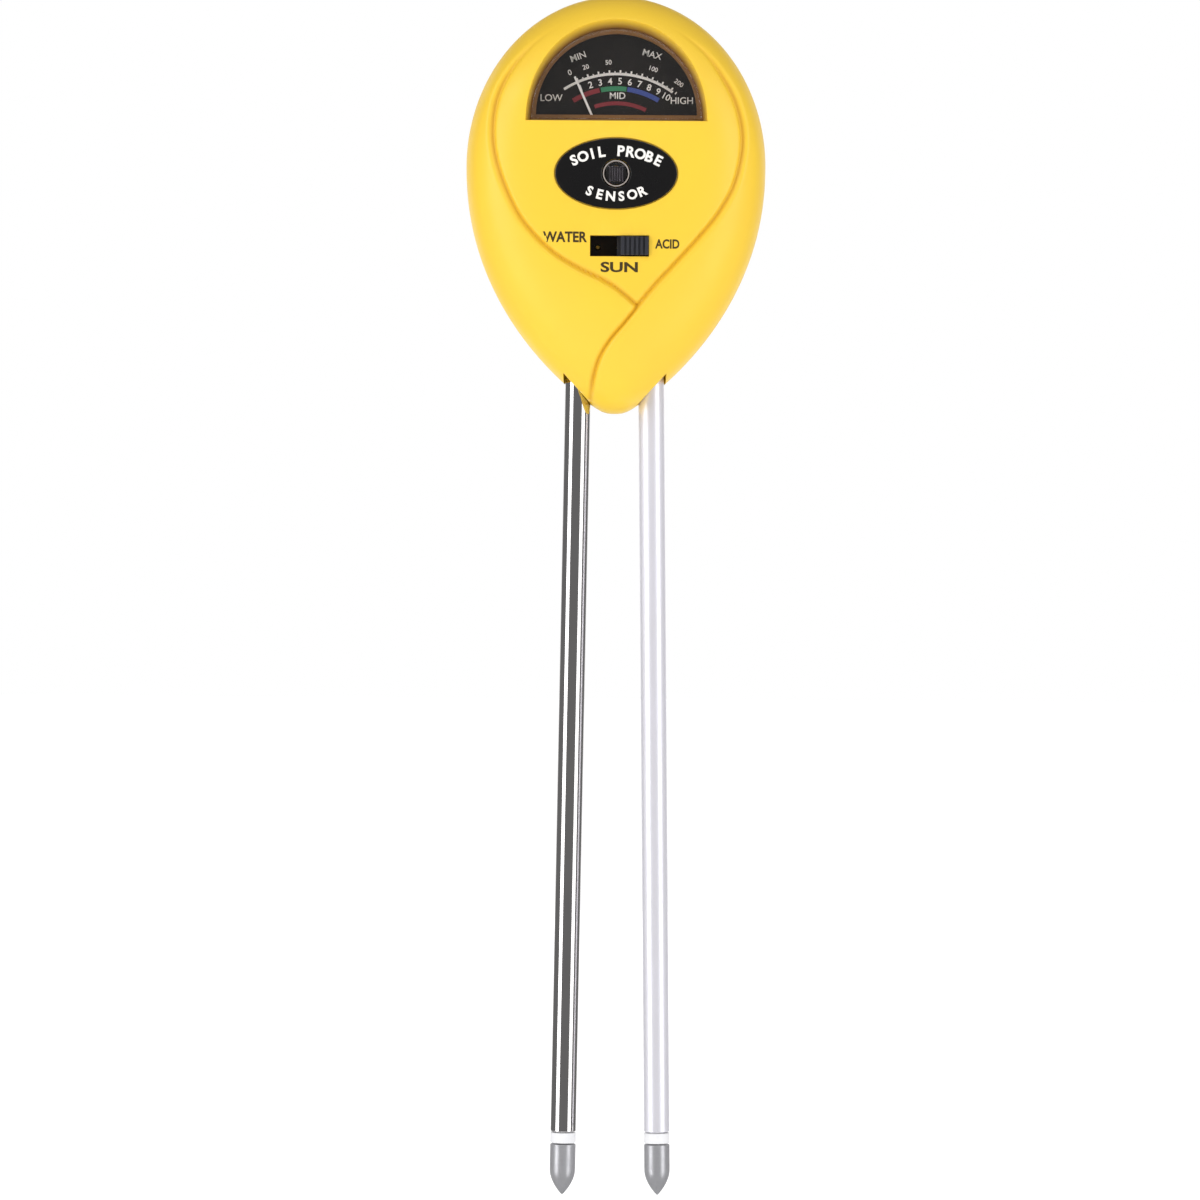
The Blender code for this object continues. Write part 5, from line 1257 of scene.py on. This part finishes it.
white_print = [arc_band(SCALE_RADIUS, SCALE_WIDTH, *SCALE_ENDS)]
for number in range(1, NUMBERS + 1):
    angle = FIRST_NUMBER + NUMBER_STEP * (number - 1)
    after = angle + HALF_TOOTH_AFTER
    white_print += [
        arc_band(SCALE_RADIUS + TOOTH_HIGH / 2, TOOTH_HIGH, angle - TOOTH_WIDE / 2, angle + TOOTH_WIDE / 2),
        arc_band(SCALE_RADIUS + HALF_TOOTH_HIGH / 2, HALF_TOOTH_HIGH, after, after + HALF_TOOTH_WIDE),
        lettering(
            str(number), NUMBER_HEIGHT, *polar(NUMBER_RADIUS, angle), NUMBER_WEIGHT, angle * NUMBER_TILT
        ),
    ]
for words, (height, across, up, tilt) in DIAL_WORDS.items():
    white_print.append(lettering(words, height * MM, across * MM, up * MM, WORD_WEIGHT, tilt))
white_scale = united("dial_white_print", white_print, white_ink)
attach(white_scale, "case")

for colour, (ink, start, end) in ZONES.items():
    zone_pieces = [arc_band(ZONE_RADIUS, ZONE_WIDTH, start, end)]
    if colour == "red":
        zone_pieces.append(arc_band(BAR_RADIUS, BAR_WIDTH, *BAR_ENDS))
    zone = united(f"dial_{colour}_print", zone_pieces, ink)
    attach(zone, "case")
print("dial print faces:", len(white_scale.data.polygons), "ink in mm:", INK / MM)

# %% [markdown]
# ## The badge and the sensor
# The badge is an oval printed plate in its own seat, with the light sensor's white bezel in
# the middle. Its legend runs along two arcs, and here it is a generic one in plain capitals.
# A flat-topped plate would look cut from card, so its edge is rounded like a stamped one.

# %% The badge plate and its legend
BADGE_SIDES = 128
BADGE_ROUND = 0.15
LEGEND_WEIGHT = 0.035
# Each row: radius, height above the badge's middle, height of its letters, and degrees a letter.
TOP_ROW = (22.5 * MM, 5.2 * MM, 2.5 * MM, 5.7)
LOW_ROW = (15.6 * MM, -5.3 * MM, 2.3 * MM, 9.2)

badge = badge_bar(
    "badge_skin", BADGE_HALF_WIDTH, BADGE_HALF_HEIGHT, BADGE_LOW.y, BADGE_HIGH.y, BADGE_SIDES
)
badge_hole = round_bar(
    "badge_hole", SENSOR_HOLE, 0, BADGE_CENTRE, BADGE_LOW.y - THROUGH, BADGE_HIGH.y + THROUGH, 64
)
carve(badge, [badge_hole])
soften(badge, BADGE_ROUND)
settle(badge, badge_black, FLAT_FACED)
stand_in(badge, "case", "badge_plate")


def legend(words, upward, radius, above, height, letter_degrees):
    """Capitals along an arc; upward letters stand on an arch, the others hang in a bowl."""
    letters = []
    half = (len(words) - 1) / 2
    for place, letter in enumerate(words):
        if letter == " ":
            continue
        degrees = (place - half) * letter_degrees
        turn = math.radians(degrees)
        drop = radius * (1 - math.cos(turn))
        z = BADGE_CENTRE + above + (-drop if upward else drop)
        tilt = degrees if upward else -degrees
        across = radius * math.sin(turn)
        letters.append(lettering(letter, height, across, z, LEGEND_WEIGHT, tilt, BADGE_LOW.y))
    return letters


legend_pieces = legend("SOIL PROBE", True, *TOP_ROW) + legend("SENSOR", False, *LOW_ROW)
badge_legend = united("badge_legend", legend_pieces, white_ink)
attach(badge_legend, "case")

# %% The sensor's bezel and window
bezel_low, bezel_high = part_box("sensor_bezel")
BEZEL_RADIUS, BEZEL_INNER = bezel_high.x, 2.78 * MM
BEZEL_FRONT, BEZEL_REAR = bezel_low.y, bezel_high.y
BEZEL_ROUND = 0.08 * MM
bezel = lathe(
    "bezel_skin",
    [
        (BEZEL_INNER, -BEZEL_REAR), (BEZEL_RADIUS, -BEZEL_REAR),
        (BEZEL_RADIUS, -BEZEL_FRONT - BEZEL_ROUND),
        (BEZEL_RADIUS - BEZEL_ROUND, -BEZEL_FRONT), (BEZEL_INNER + BEZEL_ROUND, -BEZEL_FRONT),
        (BEZEL_INNER, -BEZEL_FRONT - BEZEL_ROUND),
    ],
)
face_front(bezel, 0, BADGE_CENTRE)
settle(bezel, bezel_grey)
stand_in(bezel, "case", "sensor_bezel")

window_low, window_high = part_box("sensor_window")
window_radius = window_high.x
sensor_window = lathe(
    "sensor_window_skin",
    [
        (0, -window_high.y), (window_radius, -window_high.y), (window_radius, -window_low.y - BEZEL_ROUND),
        (window_radius - BEZEL_ROUND, -window_low.y), (0, -window_low.y),
    ],
)
face_front(sensor_window, 0, BADGE_CENTRE)
settle(sensor_window, clear_styrene, FLAT_FACED)
stand_in(sensor_window, "case", "sensor_window")

# %% [markdown]
# ## The switch's knob
# The knob is a small moulding with five grooves for the thumb. It is one piece with the
# carriage that slides in the metal shell. The grooves are cut first and every edge is then
# rounded, so that the ribs between them catch the light.

# %% The knob
KNOB_X = centre_of("switch_knob").x
KNOB_HALF_LENGTH, KNOB_HALF_HEIGHT = 3.2 * MM, 2.13 * MM
CARRIAGE_FRONT = -13.8 * MM
CARRIAGE_OVERLAP = 0.2 * MM
KNOB_GROOVES, GROOVE_WIDE, GROOVE_DEEP = 5, 0.5 * MM, 0.55 * MM
KNOB_ROUND = 0.12

knob = block(
    "knob_skin", (KNOB_LOW.x, CARRIAGE_FRONT, KNOB_LOW.z), (KNOB_HIGH.x, KNOB_HIGH.y, KNOB_HIGH.z)
)
cap = block(
    "knob_cap", (KNOB_X - KNOB_HALF_LENGTH, KNOB_LOW.y, SLOT_Z - KNOB_HALF_HEIGHT),
    (KNOB_X + KNOB_HALF_LENGTH, CARRIAGE_FRONT + CARRIAGE_OVERLAP, SLOT_Z + KNOB_HALF_HEIGHT),
)
only(knob)
union = knob.modifiers.new("cap", "BOOLEAN")
union.operation = "UNION"
union.solver = "EXACT"
union.object = cap
bpy.ops.object.modifier_apply(modifier=union.name)
bpy.data.objects.remove(cap)
pitch = 2 * KNOB_HALF_LENGTH / (KNOB_GROOVES + 1)
grooves = []
for number in range(KNOB_GROOVES):
    x = KNOB_X + pitch * (number - (KNOB_GROOVES - 1) / 2)
    grooves.append(
        block(
            "groove", (x - GROOVE_WIDE / 2, KNOB_LOW.y - THROUGH, SLOT_Z - THROUGH),
            (x + GROOVE_WIDE / 2, KNOB_LOW.y + GROOVE_DEEP, SLOT_Z + THROUGH),
        )
    )
carve(knob, grooves)
soften(knob, KNOB_ROUND)
settle(knob, black_abs, FLAT_FACED)
stand_in(knob, "switch", "switch_knob")

# %% [markdown]
# ## The printed labels round the switch
# Labels on a curved moulding are pad-printed: a soft silicone pad picks the ink up flat and
# rolls it onto the surface. The letters are made flat in the same way, and each of their
# points is then moved along the view onto the cover with a ray.

# %% The labels
LABEL_INK = 0.04 * MM
LABEL_DEEP = 0.15 * MM
LABEL_FLAT = 1.0 * MM
LABEL_WEIGHT = 0.03
# Each word: its place (x, height above the tips), and how high and wide it is, in millimetres.
SWITCH_LABELS = {
    "WATER": (-11.7, 222.8, 2.5, 10.2), "ACID": (11.9, 221.3, 2.2, 5.6), "SUN": (0.85, 215.9, 2.4, 8.6),
}
cover_tree = BVHTree.FromPolygons(
    [vert.co for vert in front.data.vertices], [tuple(face.vertices) for face in front.data.polygons]
)
label_pieces = [
    lettering(
        words, height * MM, across * MM, up * MM, LABEL_WEIGHT, 0.0, -FRONT_DEPTH, LABEL_FLAT, width * MM
    )
    for words, (across, up, height, width) in SWITCH_LABELS.items()
]
labels = united("switch_labels", label_pieces, label_ink)
flat_middle = sum(vert.co.y for vert in labels.data.vertices) / len(labels.data.vertices)
for vert in labels.data.vertices:
    hit, *_ = cover_tree.ray_cast(Vector((vert.co.x, -2 * FRONT_DEPTH, vert.co.z)), Vector((0, 1, 0)))
    vert.co.y = hit.y + (-LABEL_INK if vert.co.y < flat_middle else LABEL_DEEP)
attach(labels, "case")
print("label faces:", len(labels.data.polygons))

# %% [markdown]
# ## The rear cover
# The rear cover is the same pebble, a little shallower. Three wells let the screws down to
# their bosses, and two ribs cradle the probes. It is made like the front: the space inside is
# modelled as one solid, and the bosses and ribs are what that solid leaves standing.

# %% The rear cover
SCREW_SEAT = 6.0 * MM
SCREW_WELL, REAR_BOSS = 2.9 * MM, 4.1 * MM

rear = dome("rear_cover_skin", 1, *REAR_BALL)
rear_space = dome("rear_space", 1, *SPACE_BALL, inset=WALL, past_seam=PAST)
kept = rib_blocks(REAR_DEPTH)
kept += [round_bar("boss", REAR_BOSS, p.x, p.z, 0, REAR_DEPTH) for p in CASE_SCREWS.values()]
carve(rear_space, kept)
holes = [rear_space, *(probe_hole(side) for _, side in SIDES)]
for place in CASE_SCREWS.values():
    holes.append(round_bar("screw_hole", SCREW_HOLE, place.x, place.z, -THROUGH, SCREW_SEAT + PAST, 32))
    holes.append(round_bar("screw_well", SCREW_WELL, place.x, place.z, SCREW_SEAT, REAR_DEPTH + THROUGH, 64))
carve(rear, holes)
edit(rear)
bpy.ops.mesh.select_all(action="SELECT")
bpy.ops.mesh.remove_doubles(threshold=SAME_PLACE)
leave()
settle(rear, yellow_abs)
stand_in(rear, "case", "rear_cover")

# %% [markdown]
# ## The lip at the seam
# Two moulded shells never just butt together: a lip on one slides behind the other, which
# keeps dirt and light out of the joint. The lip is a narrow ring that follows the outline a
# little way inside it, and it is cut away where the probes pass.

# %% The lip
LIP_OUTER, LIP_INNER = 0.9 * MM, 1.7 * MM
LIP_FRONT, LIP_REAR = -0.6 * MM, 0.5 * MM
LIP_SIDES = 192

lip = add(bpy.ops.mesh.primitive_circle_add, "cover_lip", vertices=LIP_SIDES, radius=1)
outer_share, inner_share = 1 - LIP_OUTER / HALF_WIDTH, 1 - LIP_INNER / HALF_WIDTH
for vert in lip.data.vertices:
    x, up = outline_at(math.atan2(vert.co.y, vert.co.x))
    vert.co = (x * outer_share, LIP_FRONT, WIDEST + up * outer_share)
edit(lip)
bpy.ops.mesh.select_all(action="SELECT")
bpy.ops.mesh.extrude_region_move()
narrowing = inner_share / outer_share
bpy.ops.transform.resize(value=(narrowing, 1, narrowing), center_override=(0, LIP_FRONT, WIDEST))
bpy.ops.mesh.select_all(action="SELECT")
bpy.ops.mesh.extrude_region_move(TRANSFORM_OT_translate={"value": (0, LIP_REAR - LIP_FRONT, 0)})
face_out()
carve(lip, [probe_hole(side) for _, side in SIDES])
settle(lip, yellow_abs)
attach(lip, "case")
print("lip faces:", len(lip.data.polygons))

# %% [markdown]
# ## The case screws
# Three pan-head screws hold the covers together from the rear. A pan head is turned, then a
# cross is struck into it, so the model is a lathe piece with two slots cut across it. It is
# made once and copied, and each copy has its own mesh so that it can be edited alone.

# %% The case screws
HEAD_RADIUS, HEAD_HIGH, HEAD_ROUND = 2.6 * MM, 1.8 * MM, 0.5 * MM
SHANK_RADIUS, SHANK_LONG = 1.2 * MM, 14.0 * MM
CROSS_LONG, CROSS_WIDE, CROSS_DEEP = 1.75 * MM, 0.36 * MM, 0.95 * MM
HEAD_UNDERSIDE = 6.3 * MM
# Where the head's rounding passes half way, as a share of its size.
ROUND_MIDDLE = 0.15

first_screw = lathe(
    "case_screw_skin",
    [
        (0, -SHANK_LONG), (SHANK_RADIUS, SHANK_RADIUS - SHANK_LONG), (SHANK_RADIUS, 0), (HEAD_RADIUS, 0),
        (HEAD_RADIUS, HEAD_HIGH - HEAD_ROUND),
        (HEAD_RADIUS - ROUND_MIDDLE * HEAD_ROUND, HEAD_HIGH - HEAD_ROUND / 2),
        (HEAD_RADIUS - HEAD_ROUND / 2, HEAD_HIGH - ROUND_MIDDLE * HEAD_ROUND),
        (HEAD_RADIUS - HEAD_ROUND, HEAD_HIGH), (0, HEAD_HIGH),
    ],
    48,
)
cross = [
    block("cross", (-a, -b, HEAD_HIGH - CROSS_DEEP), (a, b, HEAD_HIGH + THROUGH))
    for a, b in ((CROSS_LONG, CROSS_WIDE), (CROSS_WIDE, CROSS_LONG))
]
carve(first_screw, cross)
for label, place in CASE_SCREWS.items():
    only(first_screw)
    bpy.ops.object.duplicate()
    screw = bpy.context.object
    screw.name = f"case_screw_{label}_skin"
    screw.data.transform(
        Matrix.Translation((place.x, HEAD_UNDERSIDE, place.z)) @ Matrix.Rotation(-math.pi / 2, 4, "X")
    )
    settle(screw, zinc_plate)
    stand_in(screw, "case", f"case_screw_{label}")
bpy.data.objects.remove(first_screw)
